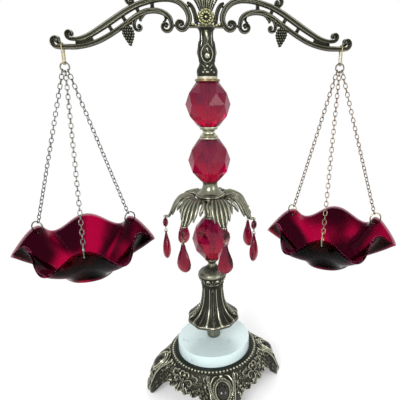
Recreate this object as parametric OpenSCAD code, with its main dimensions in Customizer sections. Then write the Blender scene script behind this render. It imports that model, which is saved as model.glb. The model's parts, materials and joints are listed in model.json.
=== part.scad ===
// Ornamental balance scale. A cast base holds a marble disc, and one threaded rod clamps a column of
// turned metal pieces and faceted glass beads between the base and a scrolled beam. A ruffled glass
// bowl hangs from each end of the beam on three chains, and glass prisms hang from a crown of leaves.
// Millimetres. The origin is the centre of the base on the table, the beam lies along X, the front
// faces -Y and +Z is up.

/* [Base] */
// Height of the seat that carries the marble
base_h = 50.5; // [46:0.5:60]
// Radius of the round plate of the base
plate_r = 54; // [52:0.5:60]
// Thickness of the round plate
plate_t = 4; // [3:0.5:6]
// Radius that the tips of the feet reach
foot_reach = 87.5; // [82:0.5:100]
// Width of each foot where it stands
foot_w = 17; // [12:0.5:24]
// Radius of the rounded toe
toe_r = 7; // [5:0.5:9]
// Radius of the skirt's edge between the feet
skirt_r = 66; // [62:0.5:72]
// Height of the skirt's edge between the feet
skirt_z = 28; // [18:0.5:34]
// Wall of the skirt
skirt_wall = 2.6; // [2:0.1:4]
// Turn of the feet about the column
base_turn = 6; // [-20:1:20]

/* [Marble] */
// Width of the rim round the dark ring, at the height of the plate
rim_w = 5.5; // [4:0.5:8]
// Thickness of the marble disc
marble_t = 16.5; // [10:0.5:25]
// Width of the dark ring round the marble
gasket_w = 3.2; // [2:0.1:3.5]
// Height of the dark ring
gasket_h = 2.6; // [2:0.1:5]

/* [Column] */
// Radius of the threaded rod
rod_r = 2.5; // [2:0.1:3]
// Radius of the tube that lifts the pedestal off the marble
stem_r = 10; // [8:0.5:11]
// Open height between the marble and the lip of the pedestal
lip_gap = 26.5; // [10:0.5:40]
// Height of the pedestal
pedestal_h = 49.3; // [40:0.5:60]
// Radius of the pedestal's lip
pedestal_lip_r = 32.3; // [26:0.1:40]
// Height of the hollow under the pedestal
pedestal_hollow_h = 14; // [10:0.5:20]
// Height of the beaded knob
knob_h = 23; // [18:0.5:30]
// Radius of the knob
knob_r = 17.1; // [15:0.1:22]
// Height of the small cup under the lower bead
cup_h = 10; // [8:0.5:14]
// Radius of the cup's rim
cup_r = 8.7; // [7:0.1:11]
// Height of the lower bead
lower_bead_h = 50; // [40:0.5:60]
// Widest radius of the lower bead
lower_bead_r = 22.6; // [18:0.1:26]
// Height of the collar of the leaf crown
collar_h = 25; // [22:0.5:32]
// Radius of that collar
collar_r = 8; // [7:0.1:10]
// Height of the bell-shaped spool
bell_h = 20; // [15:0.5:28]
// Radius of the bell-shaped spool's flange
bell_flange_r = 16.6; // [13:0.1:20]
// Height of the middle bead
middle_bead_h = 48; // [40:0.5:60]
// Widest radius of the middle bead
middle_bead_r = 23.6; // [18:0.1:27]
// Height of the waisted spool
waist_h = 13.5; // [10:0.5:20]
// Radius of the waisted spool's flanges
waist_flange_r = 10.4; // [9:0.1:13]
// Height of the upper bead
upper_bead_h = 46.5; // [38:0.5:60]
// Widest radius of the upper bead
upper_bead_r = 24.3; // [18:0.1:28]
// Height of the rounded ring above the upper bead
ring_h = 3; // [2:0.1:5]
// Radius of that ring
ring_r = 13.4; // [11:0.1:16]
// Height of the thin collar under the beam
thin_collar_h = 2.5; // [1.5:0.1:4]
// Radius of the thin collar
thin_collar_r = 10.8; // [9:0.1:13]

/* [Leaf crown and prisms] */
// Radius that the leaf tips reach
leaf_reach = 53; // [46:0.5:56]
// Drop from the top of the collar to the leaf tips
leaf_drop = 20.3; // [16:0.1:22]
// Rise of the leaves above the top of the collar
leaf_rise = 3; // [0:0.5:5]
// Half the width of a leaf at its widest
leaf_half_w = 12; // [8:0.5:13]
// Turn of the first leaf from the front
leaf_turn = 15; // [0:1:51]
// Width of the glass button
button_w = 11; // [9:0.5:13]
// Height of the glass button
button_h = 10.5; // [8:0.5:12]
// Thickness of the glass button
button_t = 6.5; // [4:0.5:8]
// Length of the pear-shaped drop
drop_l = 34; // [26:0.5:38]
// Width of the drop
drop_w = 18; // [14:0.5:20]
// Thickness of the drop
drop_t = 9.6; // [7:0.2:12]

/* [Beam] */
// Distance from the column to the centre of each end scroll
beam_reach = 149; // [130:0.2:160]
// Height of the neck under the cross bar
neck_h = 47.5; // [40:0.5:60]
// Thickness of the beam casting from front to back
beam_t = 8; // [7:0.1:11]
// Half the height of the lower rail
rail_half = 2.7; // [2.4:0.1:3]
// Radius of the rosette
rosette_r = 7.6; // [6:0.1:9]
// Distance from the cross bar to the top of the palmette
palmette_h = 45; // [40:0.5:60]
// Height of the finial
finial_h = 27; // [18:0.5:40]
// Widest radius of the finial
finial_r = 6.4; // [5:0.1:9]

/* [Hooks and chains] */
// Distance from the end scroll's centre back to the hook
hook_inset = 5; // [4.4:0.1:12]
// Drop from the middle of the rail to the bar of the hook
hook_drop = 16.7; // [14:0.1:24]
// Wire radius of the hook and of the ring under it
hook_wire_r = 0.8; // [0.6:0.05:1]
// Radius of the ring that gathers the chains
chain_ring_r = 4.5; // [4:0.1:6]
// Wire radius of the chain
link_wire_r = 0.45; // [0.35:0.05:0.5]
// Half the width of a chain link between wire centres
link_half_w = 1.9; // [1.7:0.05:2.2]
// Distance that each link adds to the chain
link_pitch = 4.9; // [4.4:0.1:6]
// Radius of the rings at the side holes of the bowls
rim_ring_r = 7.2; // [6:0.1:9]
// Wire radius of those rings
rim_ring_wire_r = 0.75; // [0.5:0.05:0.9]

/* [Bowls] */
// Height of the underside of the bowls above the table
bowl_z = 161.5; // [145:0.5:175]
// Height of the bowls, halfway between the crests and the dips of the rim
bowl_h = 44; // [38:0.5:52]
// Radius of the bowls, halfway between the crests and the dips of the rim
bowl_r = 69.6; // [60:0.2:72]
// Radius of the flat underside of the bowls
bowl_foot_r = 20; // [16:0.5:28]
// Wall of the bowls
bowl_wall = 2.8; // [2:0.1:4]
// How far the rim rises and falls from halfway
ruffle_z = 9.4; // [0:0.2:14]
// How far the rim leans in at the crests and out at the dips
ruffle_r = 6.2; // [0:0.2:10]
// Share by which the crests of the rim are flatter and its dips deeper
crest_flat = 0.12; // [0:0.02:0.3]
// Turn of the left bowl on its chains
left_turn = 14; // [-28:1:28]
// Turn of the right bowl on its chains
right_turn = -25; // [-28:1:28]

/* [Hidden] */
$fn = 48;

// Fits
bore_clear = 0.2;
seat_clear = 0.15;
hook_clear = 0.3;
link_clear = 0.1;
ring_clear = 0.2;
bore_r = rod_r + bore_clear;

// The marble and its dark ring fill the plate inside the rim
rim_in = plate_r - rim_w;
gasket_r = rim_in - seat_clear;
marble_r = gasket_r - gasket_w - seat_clear;

// Heights of the seats, from the table up
marble_z = base_h;
marble_top = marble_z + marble_t;
lip_z = marble_top + lip_gap;
hub_z = lip_z + pedestal_hollow_h;
knob_z = lip_z + pedestal_h;
cup_z = knob_z + knob_h;
lower_bead_z = cup_z + cup_h;
collar_z = lower_bead_z + lower_bead_h;
bell_z = collar_z + collar_h;
middle_bead_z = bell_z + bell_h;
waist_z = middle_bead_z + middle_bead_h;
upper_bead_z = waist_z + waist_h;
ring_z = upper_bead_z + upper_bead_h;
thin_collar_z = ring_z + ring_h;
beam_z = thin_collar_z + thin_collar_h;
bar_z = beam_z + neck_h;

// Rod and its fixings under the base
washer_r = 12;
washer_t = 1.2;
nut_across = 10;
nut_t = 4.5;
rod_below = 2;
plate_under = base_h - plate_t;
rod_bottom = plate_under - washer_t - nut_t - rod_below;
rod_in_neck = 30;
rod_top = beam_z + rod_in_neck;

// Feet and skirt
foot_n = 4;
foot_span = 16;
toe_flat = 0.5;
lobe_n = 36;
lobe_depth = 0.9;
skirt_root_r = plate_r - 3;
medal_w = 9.5;
medal_h = 12;
medal_t = 2.6;

// Beads
bead_sides = 8;
bead_end_r = 11;

// Leaf crown
leaf_n = 7;
leaf_t = 1.4;
pad_r = 3.1;
pad_t = 1.8;
pad_edge = 0.9;
eye_hole_r = 1.1;
pin_wire_r = 0.35;
pin_eye_r = 1.5;
pin_gap = 0.2;
leaf_tip_z = bell_z - leaf_drop;
pin_x = leaf_reach - pad_edge / 2;
eye_hole_x = leaf_reach - pad_edge - eye_hole_r;
pin_shank_top = leaf_tip_z - pin_eye_r;
button_z = pin_shank_top - pin_wire_r - pin_gap - button_h / 2;
lower_eye_z = button_z - button_h / 2 - pin_gap - pin_wire_r - pin_eye_r;
drop_pivot_z = lower_eye_z - pin_eye_r;
button_bore_r = pin_wire_r + 0.2;
drop_link_r = 1.5;
drop_link_l = 1.6;
drop_link_top = drop_pivot_z + 2 * pin_wire_r + seat_clear - drop_link_r;
drop_link_low = drop_link_top - drop_link_l - drop_link_r;
drop_hole_r = 0.95;
drop_hole_half = 0.85;
drop_top = drop_link_low + 2.1;

// Beam: points are millimetres from the column and from the cross bar, for a reach of 149
drawn_reach = 149;
reach_scale = beam_reach / drawn_reach;
hang_x = beam_reach - hook_inset;
rail_drop = 19.3;
hang_z = bar_z - rail_drop;
tip_r = 5.2;
tip_up = rail_drop - tip_r;
core_r = rail_half - 0.1;
groove_half = hook_wire_r + 0.5;
hook_bar_z = hang_z - hook_drop;
stud_r = 1.5;
stud_l = 7;
boss_r = 4.6;
finial_z = bar_z + palmette_h + 1.5;

// Chains
chain_ring_z = hook_bar_z + 2 * hook_wire_r + hook_clear - chain_ring_r;
chain_spread = 38;
chain_spots = [0, chain_spread, -chain_spread];
rim_hole_r = 1.95;
rim_hole_in = 7.4;
ruffles = 6;
bowl_steps = 72;
bowl_rows = 7;

function unit(v) = v / norm(v);
function along(a, b, t) = a + (b - a) * t;

// Point on a smooth curve through a list of points, t counting the points
function on_curve(p, t) =
    let (last = len(p) - 1, i = min(floor(t), last - 1), f = t - i,
        a = p[max(i - 1, 0)], b = p[i], c = p[i + 1], d = p[min(i + 2, last)])
    0.5 * (2 * b + (c - a) * f + (2 * a - 5 * b + 4 * c - d) * f * f
        + (3 * b - a - 3 * c + d) * f * f * f);

// The same curve cut into steps for each gap between its points
function smooth(p, steps) = [for (k = [0 : steps * (len(p) - 1)]) on_curve(p, k / steps)];

// Points [x, z, half width] of a curl that winds from radius r0 to r1 and from angle a0 to a1
function curl(cx, cz, r0, r1, w0, w1, a0, a1, n) =
    [for (k = [0 : n]) let (f = k / n, r = r0 + (r1 - r0) * f, a = a0 + (a1 - a0) * f)
        [cx + r * cos(a), cz + r * sin(a), w0 + (w1 - w0) * f]];

// Solid through rows of rings, each ring going counter-clockwise round the outward normal of row 0
module loft(rows, closed = false) {
    n = len(rows[0]);
    m = len(rows);
    wraps = closed ? m : m - 1;
    points = [for (row = rows) each row];
    sides = [for (j = [0 : wraps - 1], i = [0 : n - 1])
        let (a = j * n + i, b = j * n + (i + 1) % n, k = ((j + 1) % m) * n,
            c = k + (i + 1) % n, d = k + i)
        each [[a, b, d], [b, c, d]]];
    caps = closed ? [] : [[for (i = [n - 1 : -1 : 0]) i], [for (i = [0 : n - 1]) (m - 1) * n + i]];
    polyhedron(points = points, faces = concat(sides, caps));
}

// Flat band of varying width along points [x, z, half width], as deep as t, standing in XZ
module band(p, t, steps = 3) {
    q = smooth(p, steps);
    last = len(q) - 1;
    side = [for (k = [0 : last])
        let (d = q[min(k + 1, last)] - q[max(k - 1, 0)], l = norm([d[0], d[1]]))
        [-d[1], d[0]] / l * q[k][2]];
    rotate([90, 0, 0]) linear_extrude(height = t, center = true) {
        polygon(concat([for (k = [0 : last]) [q[k][0], q[k][1]] + side[k]],
            [for (k = [last : -1 : 0]) [q[k][0], q[k][1]] - side[k]]));
    }
}

// Round disc facing the front, centred on the beam's middle plane
module disc(x, z, r, t) {
    translate([x, 0, z]) rotate([90, 0, 0]) cylinder(r = r, h = t, center = true);
}

// Turned piece from points [radius, height], with the rod's bore through it
module turned(p, bore) {
    top = p[len(p) - 1][1];
    rotate_extrude() polygon(concat([[bore, p[0][1]]], p, [[bore, top]]));
}

// Closed loop of wire in XZ, two half rings joined by straight wires of length l along Z
module wire_loop(r, l, wire) {
    half = round(l * 500) / 1000;
    if (half == 0) {
        rotate([90, 0, 0]) rotate_extrude() translate([r, 0]) circle(r = wire, $fn = 24);
    } else {
        for (up = [1, -1]) {
            translate([0, 0, up * half]) rotate([90, 0, 0]) rotate([0, 0, up > 0 ? 0 : 180])
                rotate_extrude(angle = 180) translate([r, 0]) circle(r = wire, $fn = 24);
        }
        for (side = [1, -1]) {
            translate([side * r, 0, -half]) cylinder(r = wire, h = 2 * half, $fn = 24);
        }
    }
}

// Places children so that their Z follows d and their Y follows n
module frame_at(p, n, d) {
    w = cross(n, d);
    multmatrix([[w[0], n[0], d[0], p[0]], [w[1], n[1], d[1], p[1]], [w[2], n[2], d[2], p[2]]])
        children();
}

// Base: a round plate with a rim for the marble, a skirt that comes down as four feet
function foot_share(a) =
    let (step = 360 / foot_n, off = abs(((a - base_turn + 90 + step / 2 + 720) % step) - step / 2))
    exp(-pow(off / foot_span, 4));

// Skirt profiles [radius, height] from the plate down: over a foot and between two feet
foot_profile = [[skirt_root_r, base_h - 0.8], [plate_r + 7, base_h - 4.5],
    [plate_r + 18, base_h - 12], [foot_reach - 9, base_h * 0.56], [foot_reach - 5, base_h * 0.34],
    [foot_reach - 3.5, base_h * 0.16], [foot_reach - 3, 0]];
edge_profile = [[skirt_root_r, base_h - 0.8], [along(plate_r, skirt_r, 0.2), base_h - 3.5],
    [along(plate_r, skirt_r, 0.45), along(base_h, skirt_z, 0.34)],
    [along(plate_r, skirt_r, 0.7), along(base_h, skirt_z, 0.54)],
    [along(plate_r, skirt_r, 0.85), along(base_h, skirt_z, 0.73)],
    [along(plate_r, skirt_r, 0.95), along(base_h, skirt_z, 0.88)], [skirt_r, skirt_z]];

// Cross-section of the skirt at angle a: down the outside, then up the inside
function skirt_section(a) =
    let (w = foot_share(a), last = len(foot_profile) - 1,
        lobe = lobe_depth * cos(lobe_n * (a - base_turn)) * (1 - w),
        outer = [for (k = [0 : last]) along(edge_profile[k], foot_profile[k], w)
            + [lobe, -lobe] * (k / last)],
        inward = [for (k = [0 : last])
            let (d = outer[min(k + 1, last)] - outer[max(k - 1, 0)])
            k == last ? [-skirt_wall, 0] : skirt_wall * unit([d[1], -d[0]])])
    concat(outer, [for (k = [last : -1 : 0]) outer[k] + inward[k]]);

module skirt() {
    steps = 144;
    sections = [for (i = [0 : steps - 1])
        let (a = i * 360 / steps) [for (p = skirt_section(a)) [p[0] * cos(a), p[0] * sin(a), p[1]]]];
    rows = [for (j = [0 : len(sections[0]) - 1]) [for (i = [0 : steps - 1]) sections[i][j]]];
    loft(rows, true);
}

// Raised oval on the shoulder of a foot
module medallion() {
    lean = 47;
    translate([plate_r + 18, 0, base_h - 12.2]) rotate([0, lean, 0]) {
        linear_extrude(height = medal_t)
            polygon([for (k = [0 : 23]) [medal_h * cos(k * 15), medal_w * sin(k * 15)]]);
    }
}

module toe() {
    difference() {
        translate([foot_reach - toe_r, 0, toe_r - toe_flat]) rotate([90, 0, 0])
            cylinder(r = toe_r, h = foot_w, center = true);
        translate([foot_reach - toe_r, 0, -toe_r]) cube([4 * toe_r, 2 * foot_w, 2 * toe_r], center = true);
    }
}

module base_casting() {
    color("#6b6347") difference() {
        union() {
            turned([[plate_r, plate_under], [plate_r, base_h + 0.4], [plate_r - 1.6, base_h + 2],
                [rim_in, base_h + 2], [rim_in, base_h]], bore_r);
            skirt();
            for (k = [0 : foot_n - 1]) {
                rotate([0, 0, base_turn - 90 + k * 360 / foot_n]) {
                    medallion();
                    toe();
                }
            }
        }
        translate([0, 0, -1]) cylinder(r = bore_r, h = base_h + 2);
    }
}

module base_washer() {
    color("#8d8a80") turned([[washer_r, plate_under - washer_t], [washer_r, plate_under]], bore_r);
}

module base_nut() {
    color("#8d8a80") translate([0, 0, plate_under - washer_t - nut_t]) difference() {
        cylinder(d = nut_across / cos(30), h = nut_t, $fn = 6);
        translate([0, 0, -1]) cylinder(r = bore_r, h = nut_t + 2);
    }
}

module threaded_rod() {
    color("#8d8a80") translate([0, 0, rod_bottom]) cylinder(r = rod_r, h = rod_top - rod_bottom);
}

module marble_gasket() {
    edge = 0.6;
    color("#16211b") turned([[gasket_r, marble_z], [gasket_r, marble_z + gasket_h - edge],
        [gasket_r - edge, marble_z + gasket_h]], gasket_r - gasket_w);
}

module marble_disc() {
    edge = 0.8;
    color("#dfe7e8") turned([[marble_r, marble_z], [marble_r, marble_top - edge],
        [marble_r - edge, marble_top]], bore_r);
}

// Tube on the marble, up to the hub inside the pedestal
module pedestal_stem() {
    color("#5f6357") turned([[stem_r + 1.5, marble_top], [stem_r + 1.5, marble_top + 1.5],
        [stem_r, marble_top + 3], [stem_r, hub_z]], bore_r);
}

// Pedestal: a fluted bell with a scalloped lip, hollow below its hub
module pedestal_bell() {
    flutes = 10;
    steps = 60;
    s = pedestal_lip_r / 32.3;
    h = pedestal_h / 49.3;
    outside = [[15, 49.3, 0], [14.2, 46, 0.2], [13.6, 40, 0.5], [14.6, 29.5, 0.7],
        [17.2, 19.5, 0.9], [20.5, 14, 1], [25.5, 9, 1.1], [30.8, 5, 1.3], [32.3, 2.4, 1.5],
        [31.3, 0, 1.5]];
    inside = [[29.3, 0, 1.4], [25.5, 5, 1], [20, 9.5, 0.5]];
    profile = concat([for (p = outside) [p[0] * s, p[1] * h, p[2]]],
        [for (p = inside) [p[0] * s, p[1] / 14 * pedestal_hollow_h, p[2]]],
        [[14.5 * s, pedestal_hollow_h, 0]]);
    color("#5f5a42") translate([0, 0, lip_z]) difference() {
        loft([for (p = profile) [for (i = [0 : steps - 1])
            let (a = i * 360 / steps, r = p[0] + p[2] * (cos(flutes * (a - 90)) - 1) / 2)
            [r * cos(a), r * sin(a), p[1]]]]);
        cylinder(r = bore_r, h = 3 * pedestal_h, center = true);
    }
}

module pedestal_knob() {
    k = knob_r / 17.1;
    h = knob_h / 23;
    color("#77704f") translate([0, 0, knob_z]) turned([[14.2 * k, 0], [14.6 * k, 1.5 * h],
        [15.6 * k, 3.5 * h], [16.2 * k, 6 * h], [16.4 * k, 8 * h], [17.1 * k, 9.5 * h],
        [17.1 * k, 12 * h], [16.1 * k, 14 * h], [13.4 * k, 16 * h], [9.7 * k, 18.3 * h],
        [6.6 * k, 20.5 * h], [5.4 * k, 23 * h]], bore_r);
}

module lower_cup() {
    k = cup_r / 8.7;
    h = cup_h / 10;
    color("#8d8f78") translate([0, 0, cup_z]) turned([[5.4 * k, 0], [4.6 * k, 1.2 * h],
        [4.6 * k, 3 * h], [5.6 * k, 4.6 * h], [7.4 * k, 6.6 * h], [8.7 * k, 8.2 * h],
        [8.7 * k, 10 * h]], bore_r);
}

// Faceted glass bead: rings of corners, each ring turned half a step from the last
module bead(z, h, r, end_r) {
    rings = [[end_r, 1], [along(end_r, r, 0.76), 0.76], [r, 0.5], [along(end_r, r, 0.76), 0.24],
        [end_r, 0]];
    step = 360 / bead_sides;
    color("#8a0f2a") translate([0, 0, z]) difference() {
        loft([for (j = [0 : len(rings) - 1]) [for (i = [0 : bead_sides - 1])
            let (a = (i + j / 2) * step)
            [rings[j][0] * cos(a), rings[j][0] * sin(a), rings[j][1] * h]]]);
        cylinder(r = bore_r, h = 3 * h, center = true);
    }
}

module lower_bead() {
    bead(lower_bead_z, lower_bead_h, lower_bead_r, bead_end_r - 1);
}

module middle_bead() {
    bead(middle_bead_z, middle_bead_h, middle_bead_r, bead_end_r);
}

module upper_bead() {
    bead(upper_bead_z, upper_bead_h, upper_bead_r, bead_end_r + 1);
}

// One leaf of the crown, arching out of the collar and curling out again at its tip
module leaf() {
    reach = leaf_reach - pad_r;
    path = [[collar_r - 2.4, bell_z - 7], [collar_r + 6.5, bell_z - 2.6],
        [along(collar_r, reach, 0.37), bell_z + leaf_rise * 0.9],
        [along(collar_r, reach, 0.55), bell_z + leaf_rise],
        [along(collar_r, reach, 0.7), bell_z - leaf_drop * 0.06],
        [along(collar_r, reach, 0.8), bell_z - leaf_drop * 0.36],
        [along(collar_r, reach, 0.87), bell_z - leaf_drop * 0.66],
        [along(collar_r, reach, 0.94), bell_z - leaf_drop * 0.91], [reach - 0.4, leaf_tip_z]];
    widths = [0.16, 0.42, 0.74, 0.97, 1, 0.88, 0.66, 0.42, 0.2];
    across = [-1, -0.66, -0.33, 0, 0.33, 0.66, 1];
    ribs = [-0.9, 0.1, -0.2, 0.5, -0.2, 0.1, -0.9];
    last = len(path) - 1;
    rows = [for (j = [0 : last])
        let (d = unit(path[min(j + 1, last)] - path[max(j - 1, 0)]), up = [-d[1], d[0]],
            w = widths[j] * leaf_half_w, camber = 2 * (widths[j] - widths[last]) + 0.12,
            skin = function (i, side) let (s = side * leaf_t / 2 + camber * ribs[i],
                p = path[j] + up * s) [p[0], across[i] * w, p[1]])
        concat([for (i = [0 : 6]) skin(i, 1)], [for (i = [6 : -1 : 0]) skin(i, -1)])];
    difference() {
        union() {
            loft(rows);
            translate([reach, 0, leaf_tip_z]) cylinder(r = pad_r, h = pad_t, center = true);
        }
        translate([eye_hole_x, 0, leaf_tip_z]) cylinder(r = eye_hole_r, h = 6, center = true);
    }
}

function leaf_angle(k) = leaf_turn - 90 + (k - 1) * 360 / leaf_n;

module leaf_crown() {
    color("#8b8c70") {
        turned([[collar_r, collar_z], [collar_r, bell_z - 6], [collar_r + 2.5, bell_z - 4],
            [collar_r + 2.5, bell_z]], bore_r);
        for (k = [1 : leaf_n]) {
            rotate([0, 0, leaf_angle(k)]) leaf();
        }
    }
}

module bell_spool() {
    k = bell_flange_r / 16.6;
    h = bell_h / 20;
    color("#b3b08c") translate([0, 0, bell_z]) turned([[14.6 * k, 0], [15.6 * k, 0.8 * h],
        [16.6 * k, 2.6 * h], [16.6 * k, 4 * h], [14.6 * k, 5.6 * h], [11.8 * k, 8.2 * h],
        [9.4 * k, 11 * h], [8.4 * k, 14.5 * h], [8.5 * k, 18 * h], [9 * k, 20 * h]], bore_r);
}

module waist_spool() {
    k = waist_flange_r / 10.4;
    h = waist_h / 13.5;
    color("#b3b08c") translate([0, 0, waist_z]) turned([[9.6 * k, 0], [10.4 * k, 0.9 * h],
        [10.4 * k, 2 * h], [9.2 * k, 3.6 * h], [6.8 * k, 6.2 * h], [6.6 * k, 8 * h],
        [7.4 * k, 9.4 * h], [9.3 * k, 11 * h], [10.4 * k, 12.6 * h], [10.4 * k, 13.5 * h]], bore_r);
}

module bead_ring() {
    r = ring_h / 2;
    color("#8a7b4c") translate([0, 0, ring_z]) difference() {
        union() {
            rotate_extrude() translate([ring_r - r, r]) circle(r = r);
            cylinder(r = ring_r - r, h = ring_h);
        }
        translate([0, 0, -1]) cylinder(r = bore_r, h = ring_h + 2);
    }
}

module thin_collar() {
    color("#c9c8a8") translate([0, 0, thin_collar_z])
        turned([[thin_collar_r, 0], [thin_collar_r, thin_collar_h]], bore_r);
}

// Half of the beam, drawn for the +X side
lower_rail = concat(
    curl(drawn_reach, -tip_up, 1.3, tip_r, 0.9, 1.6, 255, -75, 11),
    [[145.4, -19.3, rail_half], [139, -19.3, rail_half], [131, -19.2, rail_half], [122, -18, 2.5],
    [113, -15.5, 2.5], [104.5, -12, 2.5], [95.6, -7.2, 2.5], [86.6, -1.6, 2.5], [77, 4.6, 2.7],
    [68, 10.5, 2.8], [60, 14.2, 2.8], [53.2, 15.3, 2.8], [46.5, 14.8, 2.8], [40.5, 12.6, 2.8],
    [36.4, 8.8, 2.6], [34.9, 3.6, 2.2]],
    curl(40.5, 1, 5.6, 1.6, 1.9, 1.2, 190, 520, 12));
upper_rail = concat(
    curl(135.3, -7.7, 1.1, 3.9, 0.8, 1.4, 240, -80, 10),
    [[132, -11.9, 2], [126, -11.6, 2.5], [117, -8.4, 2.8], [104.7, -1.4, 3.1], [92.5, 6.2, 3.2],
    [80.3, 13.8, 3.1], [69.2, 19.6, 3], [59.3, 23, 2.9], [48, 25.6, 2.8], [37, 26.2, 2.8],
    [28.5, 24.4, 2.9], [22.4, 20.4, 3], [18.7, 15.4, 3], [16.9, 9.4, 3], [18.2, 3.6, 2.7]],
    curl(25.2, 2.8, 5.2, 1.2, 2.4, 1, 215, 560, 12));
crest_scroll = concat(
    [[14, 28, 1.8], [16.5, 37, 2.4], [25, 43.4, 2.6], [37, 44.6, 2.6], [50, 41, 2.4],
    [61, 35.6, 2.2], [70, 31.3, 2.1]],
    curl(74, 24.6, 4.8, 1.5, 2, 1.2, 70, -250, 11));
small_scroll = concat([[65, 12.4, 2], [69.3, 9.4, 2.3], [71.8, 4.8, 2.1]],
    curl(67.6, 0.2, 4.3, 1.4, 1.8, 1, 5, -280, 9));
strap = [[15.4, 20.4, 1.8], [10.8, 15.6, 1.8], [9, 9.4, 1.8], [9, 1.6, 1.8]];
rungs = [[95.4, -1.6, 0.53, 0.85, 4], [81.5, 7.4, 0.53, 0.85, 4], [67.6, 15.6, 0.42, 0.9, 4],
    [53, 20.4, 0, 1, 4]];

function widened(p) = [for (q = p) [q[0] * reach_scale, q[1], q[2]]];

// Hanging bunch of grapes on a leaf-shaped core
module grapes() {
    band([[79.4, 3, 1.6], [78.9, -2, 4.6], [78.5, -7, 5.6], [77.8, -12, 4.2], [77, -17, 1.4]],
        beam_t - 2.6);
    for (row = [0 : 4], k = [0 : 2]) {
        spread = [3.6, 3.9, 3.2, 2, 0][row];
        disc(78.9 - row * 0.45 + (k - 1) * spread, -2.6 - row * 3.2, 1.7, beam_t - 0.6 - 0.1 * k);
    }
}

module half_beam() {
    band(widened(lower_rail), beam_t);
    band(widened(upper_rail), beam_t - 0.3);
    band(crest_scroll, beam_t - 1);
    band(small_scroll, beam_t - 1.4);
    band(strap, beam_t - 1.6);
    for (g = rungs) {
        band(widened([[g[0] - g[2] * g[4], g[1] - g[3] * g[4], 2.3],
            [g[0] + g[2] * g[4], g[1] + g[3] * g[4], 2.3]]), beam_t - 2.4, 1);
        disc(g[0] * reach_scale, g[1], 1.9, beam_t + 0.4);
    }
    grapes();
    disc(33.2, 1.8, 2.2, beam_t - 2);
}

// Fan of seven lobes above the rosette, on rays that meet below the bar
module palmette() {
    lobes = 7;
    half_fan = 23;
    root = -6.7;
    r_top = palmette_h - root;
    arc = [for (k = [-28 : 28]) let (f = k / 28, a = 90 + f * half_fan,
        r = r_top * (1 - 0.1 * f * f) - 2.2 + 2.2 * abs(sin((f + 1) * 90 * lobes)))
        [r * cos(a), root + r * sin(a)]];
    low = [for (a = [half_fan, -half_fan]) [24 * cos(90 + a), root + 24 * sin(90 + a)]];
    rotate([90, 0, 0]) linear_extrude(height = beam_t - 0.6, center = true)
        polygon(concat(low, arc));
}

module beam_casting() {
    h = neck_h / 47.5;
    neck = [[10.7, 0], [11, 2.5], [11.4, 6.3], [10.9, 8.5], [9.3, 10.6], [8.6, 13], [8.6, 16.5],
        [10.3, 19.6], [10.8, 22.9], [10.1, 27], [8.7, 31], [7.5, 35], [7.1, 39], [7.6, 43],
        [9.6, 46.4], [10.4, 48.5]];
    color("#5b5540") difference() {
        union() {
            translate([0, 0, beam_z]) turned([for (p = neck) [p[0], p[1] * h]], 0);
            translate([0, 0, bar_z]) {
                half_beam();
                mirror([1, 0, 0]) half_beam();
                band([[-18, 1.4, 1.8], [18, 1.4, 1.8]], beam_t + 0.6, 1);
                disc(0, 9.7, rosette_r + 1.6, beam_t + 1.4);
                disc(0, 9.7, rosette_r, beam_t + 4);
                disc(0, 9.7, rosette_r * 0.36, beam_t + 7);
                palmette();
                translate([0, 0, palmette_h - 6.5]) cylinder(r = boss_r, h = 8);
            }
        }
        translate([0, 0, beam_z - 1]) cylinder(r = bore_r, h = rod_in_neck + 1.5);
        translate([0, 0, finial_z - stud_l - 1]) cylinder(r = stud_r + seat_clear, h = stud_l + 2);
        for (side = [-1, 1]) {
            translate([side * hang_x, 0, hang_z]) rotate([0, 90, 0]) difference() {
                cylinder(r = core_r + 4.4, h = 2 * groove_half, center = true);
                cylinder(r = core_r, h = 2 * groove_half + 2, center = true);
            }
        }
    }
}

module finial() {
    k = finial_r / 6.4;
    h = finial_h / 27;
    color("#6b6347") translate([0, 0, finial_z]) {
        turned([[4.4, 0], [4.4, 1.6 * h], [2.8 * k, 3.4 * h], [3 * k, 4.6 * h], [5.2 * k, 7 * h],
            [6.4 * k, 10 * h], [6.2 * k, 13 * h], [4.6 * k, 15.6 * h], [2.6 * k, 17 * h],
            [2.2 * k, 18 * h], [3.2 * k, 19.4 * h], [3.2 * k, 21 * h], [2.2 * k, 23 * h],
            [1.2 * k, 25.4 * h], [0.5, 27 * h]], 0);
        translate([0, 0, -stud_l]) cylinder(r = stud_r, h = stud_l + 1);
    }
}

// Wire stirrup over the groove in the rail, with a level bar at the bottom
module hook(side) {
    r = core_r + hook_clear + hook_wire_r;
    bend = 1.8;
    leg = hook_drop - bend;
    color("#a08c5c") translate([side * hang_x, 0, hang_z]) rotate([0, 0, 90]) {
        rotate([90, 0, 0]) rotate_extrude(angle = 180) translate([r, 0]) circle(r = hook_wire_r, $fn = 24);
        for (s = [-1, 1]) {
            translate([s * r, 0, -leg]) cylinder(r = hook_wire_r, h = leg, $fn = 24);
            translate([s * (r - bend), 0, -leg]) rotate([90, 0, 0]) rotate([0, 0, s > 0 ? -90 : 180])
                rotate_extrude(angle = 90) translate([bend, 0]) circle(r = hook_wire_r, $fn = 24);
        }
        translate([0, 0, -hook_drop]) rotate([0, 90, 0])
            cylinder(r = hook_wire_r, h = 2 * (r - bend), center = true, $fn = 24);
    }
}

module chain_ring(side) {
    color("#9a9484") translate([side * hang_x, 0, chain_ring_z])
        wire_loop(chain_ring_r, 0, hook_wire_r);
}

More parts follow.
